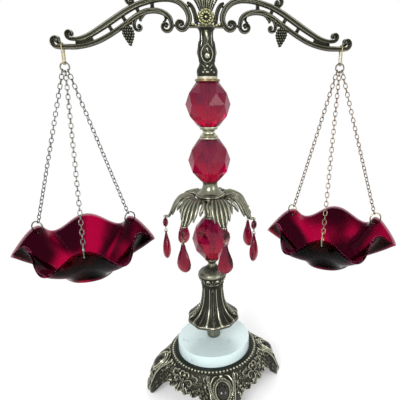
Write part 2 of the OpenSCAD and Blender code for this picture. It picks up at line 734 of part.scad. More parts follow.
// Bowl wall: middle of the glass at azimuth a, at share u of the way from the foot to the rim
bowl_profile = [[bowl_foot_r, 0], [along(bowl_foot_r, bowl_r, 0.12), bowl_h * 0.04],
    [along(bowl_foot_r, bowl_r, 0.2), bowl_h * 0.14], [along(bowl_foot_r, bowl_r, 0.29), bowl_h * 0.27],
    [along(bowl_foot_r, bowl_r, 0.43), bowl_h * 0.42], [along(bowl_foot_r, bowl_r, 0.61), bowl_h * 0.58],
    [along(bowl_foot_r, bowl_r, 0.81), bowl_h * 0.78], [bowl_r, bowl_h]];

function bowl_point(a, u, turn) =
    let (p = on_curve(bowl_profile, u * (len(bowl_profile) - 1)),
        wave = cos(ruffles * (a - turn)) - crest_flat * cos(2 * ruffles * (a - turn)),
        s = wave * pow(u, 2.2))
    [p[0] - s * ruffle_r, p[1] + s * ruffle_z + bowl_wall / 2];

// Azimuths count from the front, towards +X
function place(side, a, p) =
    [side * hang_x + p[0] * sin(a), -p[0] * cos(a), bowl_z + p[1]];

module bowl(side, turn) {
    half = bowl_wall / 2;
    skin = function (a, k, out)
        let (u = k / bowl_rows, p = bowl_point(a, u, turn),
            d = unit(bowl_point(a, min(u + 0.05, 1), turn) - bowl_point(a, max(u - 0.05, 0), turn)),
            n = k == 0 ? [0, -1] : [d[1], -d[0]])
        place(side, a, p + n * half * out);
    edge = function (a)
        let (p = bowl_point(a, 1, turn), d = unit(p - bowl_point(a, 0.95, turn)))
        place(side, a, p + d * half * 0.8);
    angles = [for (i = [0 : bowl_steps - 1]) i * 360 / bowl_steps];
    color("#7d0a24") difference() {
        loft(concat([for (k = [0 : bowl_rows]) [for (a = angles) skin(a, k, -1)]],
            [[for (a = angles) edge(a)]],
            [for (k = [bowl_rows : -1 : 0]) [for (a = angles) skin(a, k, 1)]]));
        for (k = [0 : 2]) {
            g = hanger(side, turn, k);
            frame_at(g[0], g[1], g[2]) cylinder(r = rim_hole_r, h = 4 * bowl_wall, center = true);
        }
    }
}

// Where chain k of a bowl hangs: [hole, along the rim, through the hole, ring centre, ring normal,
// up the chain, point on the gathering ring]. The ring's wire bears on the outer corner of the hole.
function hanger(side, turn, k) =
    let (a = turn + 120 * k, spot = chain_spots[k], rim = bowl_point(a, 1, turn),
        t = unit(rim - bowl_point(a, 1 - 1 / bowl_rows, turn)), n = [t[1], -t[0]],
        mid = rim - t * rim_hole_in,
        corner = place(side, a, mid + t * rim_hole_r + n * bowl_wall / 2),
        top = [side * hang_x + chain_ring_r * sin(spot), 0, chain_ring_z - chain_ring_r * cos(spot)],
        up = unit(top - corner), rim_way = [cos(a), sin(a), 0])
    [place(side, a, mid), rim_way, [n[0] * sin(a), -n[0] * cos(a), n[1]],
        corner + up * (rim_ring_r - rim_ring_wire_r - ring_clear),
        unit(rim_way - up * (rim_way * up)), up, top];

module rim_rings(side, turn) {
    color("#9a9484") for (k = [0 : 2]) {
        g = hanger(side, turn, k);
        frame_at(g[3], g[4], g[5]) wire_loop(rim_ring_r, 0, rim_ring_wire_r);
    }
}

// Chain of separate links from the gathering ring down to the ring at the rim
module chain(side, turn, k) {
    g = hanger(side, turn, k);
    spot = chain_spots[k];
    d = -g[5];
    tangent = [cos(spot), 0, sin(spot)];
    across = tangent - d * (tangent * d);
    n0 = unit(across);
    w0 = cross(d, n0);
    start = g[6] - d * ((link_wire_r + hook_wire_r + 2 * link_clear) / norm(across));
    end = g[3] + g[5] * rim_ring_r + d * (link_wire_r + rim_ring_wire_r + 2 * link_clear);
    span = norm(end - start);
    overlap = 2 * link_wire_r + link_clear;
    count = round((span - overlap) / link_pitch);
    pitch = (span - overlap) / count;
    length = pitch + overlap;
    nb = cross(g[5], g[4]);
    turn_to = atan2(nb * w0, nb * n0) - 90 * (count - 1);
    twist = (turn_to - 180 * round(turn_to / 180)) / (count - 1);
    color("#8f8a7c") for (i = [0 : count - 1]) {
        a = i * (90 + twist);
        frame_at(start + d * (i * pitch + length / 2), n0 * cos(a) + w0 * sin(a), d)
            wire_loop(link_half_w, length - 2 * link_half_w, link_wire_r);
    }
}

module at_leaf(k) {
    rotate([0, 0, leaf_angle(k)]) translate([pin_x, 0, 0]) children();
}

// Wire pin through the button, with an eye round the edge of the leaf's hole and one for the drop
module prism_pin(k) {
    shank_low = lower_eye_z + pin_eye_r;
    color("#b8b09a") at_leaf(k) {
        translate([0, 0, leaf_tip_z]) wire_loop(pin_eye_r, 0, pin_wire_r);
        translate([0, 0, shank_low]) cylinder(r = pin_wire_r, h = pin_shank_top - shank_low, $fn = 24);
        translate([0, 0, lower_eye_z]) rotate([0, 0, 90]) wire_loop(pin_eye_r, 0, pin_wire_r);
    }
}

// Faceted glass button on the pin
module prism_button(k) {
    sides = 8;
    rings = [[0.32, 0.5], [0.8, 0.3], [1, 0], [0.8, -0.3], [0.32, -0.5]];
    color("#8a0f2a") at_leaf(k) translate([0, 0, button_z]) difference() {
        loft([for (j = [0 : len(rings) - 1]) [for (i = [0 : sides - 1])
            let (a = (i + j / 2) * 360 / sides)
            [rings[j][0] * button_t / 2 * cos(a), rings[j][0] * button_w / 2 * sin(a),
                rings[j][1] * button_h]]]);
        cylinder(r = button_bore_r, h = 2 * button_h, center = true);
    }
}

// Pear-shaped glass drop and the wire link through its top
module prism_drop(k) {
    sides = 10;
    w = drop_w / 2;
    t = drop_t / 2;
    rings = [[1.3, 0.75, 0], [2.5, drop_hole_half, 1.4], [2.9, drop_hole_half + 0.1, 3.4],
        [0.5 * w, 0.5 * t, drop_l * 0.26], [0.78 * w, 0.8 * t, drop_l * 0.46], [w, t, drop_l * 0.68],
        [0.9 * w, 0.86 * t, drop_l * 0.84], [0.5 * w, 0.45 * t, drop_l * 0.96],
        [0.15 * w, 0.15 * t, drop_l]];
    color("#8a0f2a") at_leaf(k) difference() {
        translate([0, 0, drop_top]) loft([for (j = [0 : len(rings) - 1])
            [for (i = [0 : sides - 1]) let (a = (i + j / 2) * 360 / sides)
                [rings[j][1] * cos(a), rings[j][0] * sin(a), -rings[j][2]]]]);
        translate([0, 0, drop_link_low - 0.05]) rotate([0, 90, 0])
            cylinder(r = drop_hole_r, h = 12, center = true);
    }
    color("#b8b09a") at_leaf(k) translate([0, 0, drop_link_top - drop_link_l / 2])
        wire_loop(drop_link_r, drop_link_l, pin_wire_r);
}

base_casting();
base_washer();
base_nut();
threaded_rod();
marble_gasket();
marble_disc();
pedestal_stem();
pedestal_bell();
pedestal_knob();
lower_cup();
lower_bead();
leaf_crown();
bell_spool();
middle_bead();
waist_spool();
upper_bead();
bead_ring();
thin_collar();
beam_casting();
finial();
hook(-1);  // left_hook
hook(1);  // right_hook
chain_ring(-1);  // left_chain_ring
chain_ring(1);  // right_chain_ring
chain(-1, left_turn, 0);  // left_front_chain
chain(-1, left_turn, 1);  // left_inner_chain
chain(-1, left_turn, 2);  // left_outer_chain
chain(1, right_turn, 0);  // right_front_chain
chain(1, right_turn, 1);  // right_outer_chain
chain(1, right_turn, 2);  // right_inner_chain
rim_rings(-1, left_turn);  // left_rim_rings
rim_rings(1, right_turn);  // right_rim_rings
bowl(-1, left_turn);  // left_bowl
bowl(1, right_turn);  // right_bowl
for (k = [1 : leaf_n]) {
    prism_pin(k);
    prism_button(k);
    prism_drop(k);
}
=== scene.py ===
"""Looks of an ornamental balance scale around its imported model.

It is laid out as a Blender add-on and run as a script. Every operator makes one piece, or one group
of like pieces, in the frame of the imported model: the beam lies along X, the front faces -Y and +Z is
up. Lengths in the code are millimetres and become metres when a mesh is made.
"""

import json
import math

import bmesh
import bpy
import numpy as np
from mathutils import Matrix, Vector


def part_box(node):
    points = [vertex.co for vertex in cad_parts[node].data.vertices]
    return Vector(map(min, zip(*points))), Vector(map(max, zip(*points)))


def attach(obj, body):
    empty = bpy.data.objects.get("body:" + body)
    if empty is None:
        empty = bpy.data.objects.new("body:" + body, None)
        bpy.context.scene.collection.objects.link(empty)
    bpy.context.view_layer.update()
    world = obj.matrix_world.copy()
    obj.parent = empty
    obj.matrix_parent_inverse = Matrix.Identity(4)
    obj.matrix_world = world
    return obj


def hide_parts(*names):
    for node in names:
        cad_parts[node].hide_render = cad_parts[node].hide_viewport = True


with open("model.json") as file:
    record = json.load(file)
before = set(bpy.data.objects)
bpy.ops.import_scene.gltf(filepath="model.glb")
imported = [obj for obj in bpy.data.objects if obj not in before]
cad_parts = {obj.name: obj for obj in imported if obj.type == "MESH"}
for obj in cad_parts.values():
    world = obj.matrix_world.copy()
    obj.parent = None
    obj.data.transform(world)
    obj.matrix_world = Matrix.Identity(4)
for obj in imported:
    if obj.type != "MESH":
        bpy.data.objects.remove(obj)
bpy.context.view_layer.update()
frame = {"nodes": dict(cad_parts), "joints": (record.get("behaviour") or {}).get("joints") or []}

bl_info = {
    "name": "Balance scale looks",
    "version": (1, 0, 0),
    "blender": (4, 5, 0),
    "location": "View3D > Sidebar > Scale",
    "description": "Detailed pieces and finishes of an ornamental balance scale",
    "category": "Object",
}

MM = 0.001
TAU = 2 * math.pi


def seat(node):
    """Height of a node's lowest point in millimetres."""
    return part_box(node)[0].z / MM


def top(node):
    """Height of a node's highest point in millimetres."""
    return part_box(node)[1].z / MM


def pivot(joint):
    """Point that a joint turns about, in millimetres."""
    return np.array(next(j for j in frame["joints"] if j["name"] == joint)["pos_m"]) / MM


BASE_H = seat("marble_disc")
LIP_Z = seat("pedestal_bell")
KNOB_Z = seat("pedestal_knob")
SPOOL_Z = seat("bell_spool")
NECK_Z = seat("beam_casting")
NECK_H = 47.5
BAR_Z = NECK_Z + NECK_H
BORE_R = 2.9
PLATE_R = 54.0
FOOT_REACH = 87.5
SKIRT_R = 66.0
SKIRT_Z = 28.0
BASE_TURN = 6.0
LEAF_TURN = 15.0
LEAVES = 7
HANG_X = pivot("right_hook_swing")[0]
RAIL_Z = pivot("right_hook_swing")[2]
WHITE = (1, 1, 1, 1)


class ScaleSizes(bpy.types.PropertyGroup):
    """Sizes that change how rich the castings look."""

    ridge: bpy.props.FloatProperty(
        name="Ridge height", description="How far the two ridges of the rails stand up from them",
        default=0.0009, min=0.0, max=0.002, unit="LENGTH")
    pearl: bpy.props.FloatProperty(
        name="Pearl radius", description="Radius of the pearls round the rim of the base",
        default=0.00158, min=0.0008, max=0.002, unit="LENGTH")
    pearls: bpy.props.IntProperty(
        name="Pearls", description="How many pearls stand round the rim of the base",
        default=76, min=40, max=110)
    leaf_finger: bpy.props.FloatProperty(
        name="Leaf fingers", description="How far the fingers of the leaves stand up from the leaf",
        default=0.0011, min=0.0, max=0.002, unit="LENGTH")
    flute: bpy.props.FloatProperty(
        name="Flute ridge", description="Height of the ridges between the flutes of the pedestal",
        default=0.0009, min=0.0, max=0.002, unit="LENGTH")
    glass_wall: bpy.props.FloatProperty(
        name="Bowl wall", description="Thickness of the glass of the bowls",
        default=0.0028, min=0.001, max=0.004, unit="LENGTH")


class ScaleColours(bpy.types.PropertyGroup):
    """Colours of the finishes."""

    # Dark end of the castings' mark: the patina in their hollows, and painted shade.
    patina_and_shade: bpy.props.FloatVectorProperty(
        name="Patina", description="Dark tone in the recesses of the castings",
        subtype="COLOR", size=3, min=0.0, max=1.0, default=(0.02, 0.02, 0.014))
    # Bright end of the castings' mark: rubbed brass, and painted highlights.
    brass: bpy.props.FloatVectorProperty(
        name="Rubbed brass", description="Bright tone on the ridges of the castings",
        subtype="COLOR", size=3, min=0.0, max=1.0, default=(0.44, 0.44, 0.335))
    pewter: bpy.props.FloatVectorProperty(
        name="Pale brass", description="Tone of the turned spools and the leaves",
        subtype="COLOR", size=3, min=0.0, max=1.0, default=(0.34, 0.34, 0.25))
    ruby: bpy.props.FloatVectorProperty(
        name="Ruby", description="Tone of the glass and of the faceted beads",
        subtype="COLOR", size=3, min=0.0, max=1.0, default=(0.3, 0.002, 0.028))
    marble: bpy.props.FloatVectorProperty(
        name="Marble", description="Ground tone of the marble",
        subtype="COLOR", size=3, min=0.0, max=1.0, default=(0.7, 0.85, 0.85))
    wire: bpy.props.FloatVectorProperty(
        name="Wire", description="Tone of the hooks, chains and pins",
        subtype="COLOR", size=3, min=0.0, max=1.0, default=(0.36, 0.32, 0.22))


def sizes():
    """The sizes of the scene, whose lengths are metres."""
    return bpy.context.scene.scale_sizes


def colours():
    """The colours of the scene."""
    return bpy.context.scene.scale_colours


def smooth(points, steps):
    """Points along a curve through the given ones.

    Between two points b and c with neighbours a and d the curve is half of
    2b + (c - a)t + (2a - 5b + 4c - d)t squared + (3b - a - 3c + d)t cubed, with t from 0 to 1.
    """
    p = np.asarray(points, float)
    q = np.vstack([p[:1], p, p[-1:]])
    t = (np.arange(steps) / steps)[None, :, None]
    a, b, c, d = (q[k:k + len(p) - 1, None, :] for k in range(4))
    curve = 0.5 * (2 * b + (c - a) * t + (2 * a - 5 * b + 4 * c - d) * t ** 2
                   + (3 * b - a - 3 * c + d) * t ** 3)
    return np.vstack([curve.reshape(-1, p.shape[1]), p[-1:]])


def on_curve(knots, t):
    """The same curve read at any t that counts the knots; knots may differ from point to point."""
    last = knots.shape[-2] - 1
    i = np.clip(np.floor(t).astype(int), 0, last - 1)
    f = (t - i)[..., None]

    def knot(k):
        index = np.clip(i + k, 0, last)[..., None, None]
        held = np.broadcast_to(index, t.shape + (1, knots.shape[-1]))
        return np.take_along_axis(knots, held, -2)[..., 0, :]

    a, b, c, d = (knot(k) for k in (-1, 0, 1, 2))
    return 0.5 * (2 * b + (c - a) * f + (2 * a - 5 * b + 4 * c - d) * f ** 2
                  + (3 * b - a - 3 * c + d) * f ** 3)


def curl(cx, cz, r0, r1, w0, w1, a0, a1, n):
    """Points [x, z, half width] of a spiral whose radius, width and angle run evenly to their ends."""
    f = np.linspace(0, 1, n + 1)
    r = r0 + (r1 - r0) * f
    a = np.radians(a0 + (a1 - a0) * f)
    return np.stack([cx + r * np.cos(a), cz + r * np.sin(a), w0 + (w1 - w0) * f], 1)


def fade(x, low, high):
    """0 below low, 1 above high, and 3t squared - 2t cubed between them."""
    t = np.clip((x - low) / (high - low), 0, 1)
    return t * t * (3 - 2 * t)


def unit(v):
    """Vectors brought to length 1."""
    return v / np.linalg.norm(v, axis=-1, keepdims=True)


def turned_about(points, degrees):
    """Points turned about the column by an angle in degrees."""
    c, s = math.cos(math.radians(degrees)), math.sin(math.radians(degrees))
    x, y, z = np.moveaxis(points, -1, 0)
    return np.stack([x * c - y * s, x * s + y * c, z], -1)


def circle(sides):
    """Angles in radians at even steps round a circle."""
    return TAU * np.arange(sides) / sides


def polar(r, a, z):
    """Points at a radius r and an angle a in radians round the column, at a height z."""
    r, a, z = np.broadcast_arrays(r, a, z)
    return np.stack([r * np.cos(a), r * np.sin(a), z], -1)


def bump(x, middle, width):
    """1 in the middle and less on both sides: e to the minus (distance over width) squared."""
    return np.exp(-((x - middle) / width) ** 2)


def run(points):
    """Length along a line of points up to each of them."""
    return np.concatenate([[0], np.cumsum(np.linalg.norm(np.diff(points, axis=0), axis=1))])


class Shape:
    """Points in millimetres, faces, and for each point a mark of how rubbed it is and how much painted
    highlight or shade it gets, gathered for one mesh.
    """

    def __init__(self):
        self.points, self.faces, self.wear, self.count = [], [], [], 0

    def add(self, points, faces, wear):
        """Adds points with faces that count from 0 in them."""
        points = np.asarray(points, float).reshape(-1, 3)
        self.faces += [f + self.count for f in faces]
        self.points.append(points)
        self.wear.append(np.broadcast_to(np.asarray(wear, float), (len(points),)))
        self.count += len(points)

    def tube(self, rings, wear=0.5, closed=False):
        """Skin over a grid of rings; an open row of rings is closed with a fan at each end."""
        m, n = rings.shape[:2]
        wear = np.broadcast_to(np.asarray(wear, float), (m, n)).ravel()
        j, i = np.meshgrid(np.arange(m if closed else m - 1), np.arange(n), indexing="ij")
        k, i1 = (j + 1) % m, (i + 1) % n
        quads = np.stack([j * n + i, j * n + i1, k * n + i1, k * n + i], -1).reshape(-1, 4)
        if closed:
            self.add(rings, [quads], wear)
            return
        ends = np.stack([rings[0].mean(0), rings[-1].mean(0)])
        i = np.arange(n)
        low = np.stack([np.full(n, m * n), (i + 1) % n, i], 1)
        high = np.stack([np.full(n, m * n + 1), (m - 1) * n + i, (m - 1) * n + (i + 1) % n], 1)
        self.add(np.vstack([rings.reshape(-1, 3), ends]), [quads, low, high],
                 np.append(wear, [wear[:n].mean(), wear[-n:].mean()]))

    def mirrored(self, axis):
        """Adds the mirror image of everything so far across the plane through the origin."""
        flip = np.ones(3)
        flip[axis] = -1
        points = np.vstack(self.points)
        self.add(points * flip, [f[:, ::-1] for f in self.faces], np.concatenate(self.wear))

    def join(self, other):
        """Adds another shape as it stands."""
        self.add(np.vstack(other.points), other.faces, np.concatenate(other.wear))

    def repeated(self, count, start=0.0):
        """Turns everything so far about the column so that it stands there count times."""
        points, wear, faces = np.vstack(self.points), np.concatenate(self.wear), self.faces
        self.points, self.faces, self.wear, self.count = [], [], [], 0
        for k in range(count):
            self.add(turned_about(points, start + k * 360 / count), faces, wear)


def ball(rows, cols):
    """Unit sphere: poles at +Z and -Z and rows - 1 rings of cols points between them."""
    lat = np.pi * np.arange(1, rows) / rows
    lon = circle(cols)
    ring = np.stack([np.sin(lat)[:, None] * np.cos(lon), np.sin(lat)[:, None] * np.sin(lon),
                     np.broadcast_to(np.cos(lat)[:, None], (rows - 1, cols))], -1).reshape(-1, 3)
    points = np.vstack([ring, [[0, 0, 1], [0, 0, -1]]])
    j, i = np.meshgrid(np.arange(rows - 2), np.arange(cols), indexing="ij")
    i1 = (i + 1) % cols
    quads = np.stack([j * cols + i, (j + 1) * cols + i, (j + 1) * cols + i1, j * cols + i1], -1)
    i = np.arange(cols)
    north = np.stack([np.full(cols, len(ring)), i, (i + 1) % cols], 1)
    last = (rows - 2) * cols
    south = np.stack([np.full(cols, len(ring) + 1), last + (i + 1) % cols, last + i], 1)
    return points, [quads.reshape(-1, 4), north, south]


def balls(shape, centres, radii, wear, rows, cols):
    """Adds a sphere at each centre; radii is one number for all, or three for each centre."""
    centres = np.asarray(centres, float).reshape(-1, 3)
    radii = np.broadcast_to(np.asarray(radii, float), centres.shape)
    sphere, faces = ball(rows, cols)
    points = centres[:, None] + sphere * radii[:, None]
    first = np.arange(len(centres))[:, None, None] * len(sphere)
    # Painted shade: each ball is lighter at its top and darker at its bottom, by 0.12 times its height on the
    # unit sphere.
    shade = np.broadcast_to(wear + 0.12 * sphere[:, 2], points.shape[:2]).ravel()
    shape.add(points, [(f + first).reshape(-1, f.shape[1]) for f in faces], shade)


def revolve(shape, low, profile, sides, wear=None, relief=None):
    """Turned form: a profile [radius, height above low] from the bottom up, carried round the column.

    relief(angle, height) is added to the radius, and the other function of angle and height says how rubbed
    each point is and how much painted highlight or shade it gets.
    """
    p = smooth(profile, 4)
    a, z = circle(sides), p[:, 1:]
    r = p[:, :1] + (relief(a, z) if relief else 0)
    shape.tube(polar(r, a, low + z), wear(a, z) if wear else 0.5)


def lifted(surface, u, v, lift):
    """Points of surface(u, v) moved out along its normal, the cross product of its two slopes."""
    step = 0.05
    across = surface(u + step, v) - surface(u - step, v)
    down = surface(u, v + step) - surface(u, v - step)
    return surface(u, v) + unit(np.cross(down, across)) * np.asarray(lift)[..., None]


def ridge(shape, surface, stroke, height, steps=4, sunk=0.35, arc=7, wear=(0.12, 0.95)):
    """Half-round ridge along a stroke [u, v, half width] of a surface.

    Its section is an arch: across is width times the cosine and lift is height times the sine to
    the power 0.85, and the flat side is sunk below the surface. From the foot of the arch to its crest
    the mark runs dark to bright with the sine cubed: rubbing, and painted shade and highlight.
    """
    q = smooth(stroke, steps)
    d = np.gradient(q[:, :2], axis=0)
    side = unit(np.stack([-d[:, 1], d[:, 0]], 1)) * q[:, 2:3]
    phi = np.linspace(0, np.pi, arc)
    taper = np.minimum(1, q[:, 2] / q[:, 2].max() * 1.4)[:, None]
    u = q[:, :1] + side[:, :1] * np.cos(phi)
    v = q[:, 1:2] + side[:, 1:2] * np.cos(phi)
    lift = (np.sin(phi) ** 0.85 * (height + sunk) - sunk) * taper
    shade = wear[0] + (wear[1] - wear[0]) * np.sin(phi) ** 3
    shape.tube(lifted(surface, u, v, lift), shade)


def pearls_along(shape, surface, stroke, pitch, radius):
    """Row of small balls at an even pitch along a line [u, v] of a surface."""
    q = smooth(stroke, 12)[:, :2]
    length = run(q)
    at = np.linspace(0, length[-1], max(2, int(round(length[-1] / pitch)) + 1))
    u, v = (np.interp(at, length, q[:, k]) for k in (0, 1))
    balls(shape, lifted(surface, u, v, 0.3), radius, 0.85, rows=5, cols=8)


def dome(shape, surface, centre, half, height, sunk=0.4, wear=(0.25, 0.9), rings=7, sides=24):
    """Oval dome on a surface: lift is height times the root of 1 less the share squared."""
    share = np.linspace(1, 0.12, rings)[:, None]
    a = circle(sides)
    u = centre[0] + half[0] * share * np.cos(a)
    v = centre[1] + half[1] * share * np.sin(a)
    up = (1 - share ** 2) ** 0.5
    lift = np.broadcast_to(up * (height + sunk) - sunk, u.shape)
    shape.tube(lifted(surface, u, v, lift), wear[0] + (wear[1] - wear[0]) * up)


def oval_ring(shape, surface, centre, half, wire, height):
    """Oval moulding on a surface: a half-round section carried round an ellipse."""
    a = circle(40)[:, None]
    phi = np.linspace(0, np.pi, 7)
    u = centre[0] + (half[0] + wire * np.cos(phi)) * np.cos(a)
    v = centre[1] + (half[1] + wire * np.cos(phi)) * np.sin(a)
    lift = np.sin(phi) * (height + 0.4) - 0.4 + 0 * a
    shape.tube(lifted(surface, u, v, lift), 0.2 + 0.8 * np.sin(phi), closed=True)


def mesh_of(shape, name):
    """Mesh of a shape, in metres and with its faces pointed outwards."""
    mesh = bpy.data.meshes.new(name)
    points = np.vstack(shape.points) * MM
    mesh.from_pydata(points.tolist(), [], [f for part in shape.faces for f in part.tolist()])
    solid = bmesh.new()
    solid.from_mesh(mesh)
    bmesh.ops.recalc_face_normals(solid, faces=solid.faces)
    solid.to_mesh(mesh)
    solid.free()
    return mesh


def new_object(name, data):
    """Object for a mesh, a lamp or a camera, linked to the scene."""
    obj = bpy.data.objects.new(name, data)
    bpy.context.scene.collection.objects.link(obj)
    return obj


def add_piece(name, shape, material, body, nodes=(), angle=38.0, marks=None):
    """Makes the mesh of a shape and sets it on its body, in place of the nodes that it replaces.

    Edges sharper than the angle in degrees stay sharp, and angle 0 leaves every face flat. marks
    holds further values for each point, by the name of the attribute that carries them.
    """
    mesh = mesh_of(shape, name)
    for mark, values in {"wear": np.concatenate(shape.wear), **(marks or {})}.items():
        held = mesh.attributes.new(mark, "FLOAT", "POINT")
        held.data.foreach_set("value", np.asarray(values, np.float32).ravel())
    if angle:
        mesh.shade_smooth()
        mesh.set_sharp_from_angle(angle=math.radians(angle))
    else:
        mesh.shade_flat()
    mesh.materials.append(material)
    mesh.update()
    obj = new_object(name, mesh)
    if nodes:
        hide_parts(*nodes)
    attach(obj, body)
    return obj


def add_casting(name, shape, material, *nodes):
    """Makes a brass piece of the stand, in place of the nodes that it replaces."""
    add_piece(name, shape, material, "stand", nodes)


def finish_node(node, material):
    """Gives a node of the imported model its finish."""
    obj = frame["nodes"][node]
    if obj.material_slots:
        for held in obj.material_slots:
            held.link = "OBJECT"
            held.material = material
    else:
        obj.data.materials.append(material)


def fill(tree, node, inputs):
    """Sets the inputs of a shader node, or links them to the sockets that are given for them."""
    for socket, setting in inputs.items():
        if isinstance(setting, bpy.types.NodeSocket):
            tree.links.new(setting, node.inputs[socket])
        else:
            node.inputs[socket].default_value = setting


def add_node(tree, kind, inputs=(), **values):
    """Adds a shader node, sets its properties, and fills its inputs."""
    made = tree.nodes.new(kind)
    for key, value in values.items():
        setattr(made, key, value)
    fill(tree, made, dict(inputs))
    return made


def place_in(tree):
    """Object coordinates in metres."""
    return add_node(tree, "ShaderNodeTexCoord").outputs["Object"]


def mark_in(tree, name):
    """Value of an attribute of the mesh."""
    return add_node(tree, "ShaderNodeAttribute", attribute_name=name).outputs["Fac"]


def noise(tree, place, scale, **settings):
    """Noise from 0 to 1 read at a vector."""
    return add_node(tree, "ShaderNodeTexNoise", {"Vector": place, "Scale": scale, **settings}).outputs["Fac"]


def maths(tree, operation, *values, clamp=False):
    """Result of an operation on sockets and numbers."""
    made = add_node(tree, "ShaderNodeMath", dict(enumerate(values)), operation=operation, use_clamp=clamp)
    return made.outputs[0]


def ranged(tree, value, low=0.0, high=1.0, first=0.0, last=1.0, ease=False):
    """A value between low and high brought to its place between first and last, evenly or eased."""
    return add_node(tree, "ShaderNodeMapRange", {
        "Value": value, "From Min": low, "From Max": high, "To Min": first, "To Max": last,
    }, interpolation_type="SMOOTHSTEP" if ease else "LINEAR").outputs["Result"]


def mixed(tree, share, first, second):
    """Colour that lies between two others by a share."""
    return add_node(tree, "ShaderNodeMix", {"Factor": share, "A": first, "B": second},
                    data_type="RGBA").outputs["Result"]


def raised(tree, height, strength, distance):
    """Normal of a surface that a height between 0 and 1 lifts by a distance in metres."""
    return add_node(tree, "ShaderNodeBump", {
        "Strength": strength, "Distance": distance, "Height": height}).outputs["Normal"]


def new_group(name, inputs, outputs):
    """Empty node group with named inputs [name, socket kind, value] and outputs [name, socket kind]."""
    group = bpy.data.node_groups.new(name, "ShaderNodeTree")
    for label, kind, value in inputs:
        socket = group.interface.new_socket(label, in_out="INPUT", socket_type=kind)
        socket.default_value = value
    for label, kind in outputs:
        group.interface.new_socket(label, in_out="OUTPUT", socket_type=kind)
    return group, group.nodes.new("NodeGroupInput"), group.nodes.new("NodeGroupOutput")


def metal_wear_and_light():
    """Group for cast and turned metal: dark in the recesses, bright where the mark is high. The mark is
    partly patina and rubbing, and partly painted light: painted shade in hollows and under parts, and
    painted highlights on ridges and crests.

    The mask is the mark plus a share of noise, eased between two levels. Colour and roughness run
    from dark to bright with the mask, and a fine noise gives the height of the cast skin.
    """
    if "metal_wear_and_light" in bpy.data.node_groups:
        return bpy.data.node_groups["metal_wear_and_light"]
    tree, enter, leave = new_group("metal_wear_and_light", [
        ("Dark", "NodeSocketColor", (0.02, 0.02, 0.01, 1)),
        ("Bright", "NodeSocketColor", (0.6, 0.55, 0.4, 1)),
        ("Blotch", "NodeSocketFloat", 0.3),
        ("Low", "NodeSocketFloat", 0.3),
        ("High", "NodeSocketFloat", 0.95),
    ], [("Color", "NodeSocketColor"), ("Roughness", "NodeSocketFloat"),
        ("Metallic", "NodeSocketFloat"), ("Height", "NodeSocketFloat")])
    place, given = place_in(tree), enter.outputs
    blotch = maths(tree, "SUBTRACT", noise(tree, place, 260.0, Detail=3.0, Roughness=0.6), 0.5)
    moved = maths(tree, "MULTIPLY_ADD", blotch, given["Blotch"], mark_in(tree, "wear"))
    mask = ranged(tree, moved, given["Low"], given["High"], ease=True)
    fill(tree, leave, {
        "Color": mixed(tree, mask, given["Dark"], given["Bright"]),
        "Roughness": ranged(tree, mask, first=0.46, last=0.24),
        "Metallic": ranged(tree, mask, first=0.75, last=1.0),
        "Height": noise(tree, place, 900.0, Detail=2.0, Roughness=0.5)})
    return tree


def new_material(name):
    """Material with a node tree that holds a Principled shader, and the two of them."""
    material = bpy.data.materials.new(name)
    material.use_nodes = True
    return material, material.node_tree, material.node_tree.nodes["Principled BSDF"]


def rgba(colour, factor=1.0):
    """A colour with its alpha, darkened or lightened by a factor."""
    return (*[min(1.0, c * factor) for c in colour], 1.0)


def metal_finish(name, dark, bright, blotch, low, high):
    """Finish of a metal piece whose mark of rubbing and painted light says where it is bright and where dark.
    """
    if name in bpy.data.materials:
        return bpy.data.materials[name]
    material, tree, shader = new_material(name)
    group = add_node(tree, "ShaderNodeGroup", node_tree=metal_wear_and_light())
    fill(tree, group, {"Dark": dark, "Bright": bright, "Blotch": blotch, "Low": low, "High": high})
    fill(tree, shader, {key: group.outputs[made] for key, made in (
        ("Base Color", "Color"), ("Roughness", "Roughness"), ("Metallic", "Metallic"))})
    fill(tree, shader, {"Normal": raised(tree, group.outputs["Height"], 0.5, 0.00004)})
    return material


def antique():
    """Cast brass with dark recesses, from patina and painted shade, and bright ridges, from rubbing and
    painted highlights.
    """
    tone = colours()
    return metal_finish("worn_and_lit_brass", rgba(tone.patina_and_shade), rgba(tone.brass), 0.5, 0.3, 1.0)


def gilded():
    """Cast brass whose raised parts are a clear yellow, rubbed and with painted highlights."""
    tone = colours()
    bright = (tone.brass[0] * 1.3, tone.brass[1] * 1.28, tone.brass[2] * 0.95)
    return metal_finish("gilded_brass", rgba(tone.patina_and_shade), rgba(bright), 0.35, 0.25, 0.9)


def leaf_metal():
    """Cast brass of the leaves, greener and greyer."""
    tone = colours()
    return metal_finish("leaf_brass", rgba(tone.patina_and_shade, 1.6), rgba(tone.pewter, 1.1), 0.35, 0.2, 1.0)


def turned_brass(name, factor):
    """Turned spools: pale brass with dark lines in the grooves."""
    tone = colours()
    return metal_finish(name, rgba(tone.patina_and_shade, 2.5), rgba(tone.pewter, factor), 0.3, 0.05, 0.9)


def smooth_metal(name, colour, roughness, mottle=0.3, scale=90.0):
    """Plain metal of wires and small fixings, mottled by noise on the object's coordinates."""
    material, tree, shader = new_material(name)
    grain = noise(tree, place_in(tree), scale, Detail=4.0, Roughness=0.65)
    mask = ranged(tree, grain, 0.35, 0.65, ease=True)
    fill(tree, shader, {
        "Base Color": mixed(tree, mask, rgba(colour, 1.0 - mottle), rgba(colour, 1.0 + mottle * 0.5)),
        "Roughness": ranged(tree, mask, first=roughness * 1.5, last=roughness),
        "Metallic": 1.0})
    return material


def tinted(red, green, blue):
    """The ruby tone with its three parts lowered or raised."""
    return (*[min(1.0, tone * part) for tone, part in zip(colours().ruby, (red, green, blue))], 1)


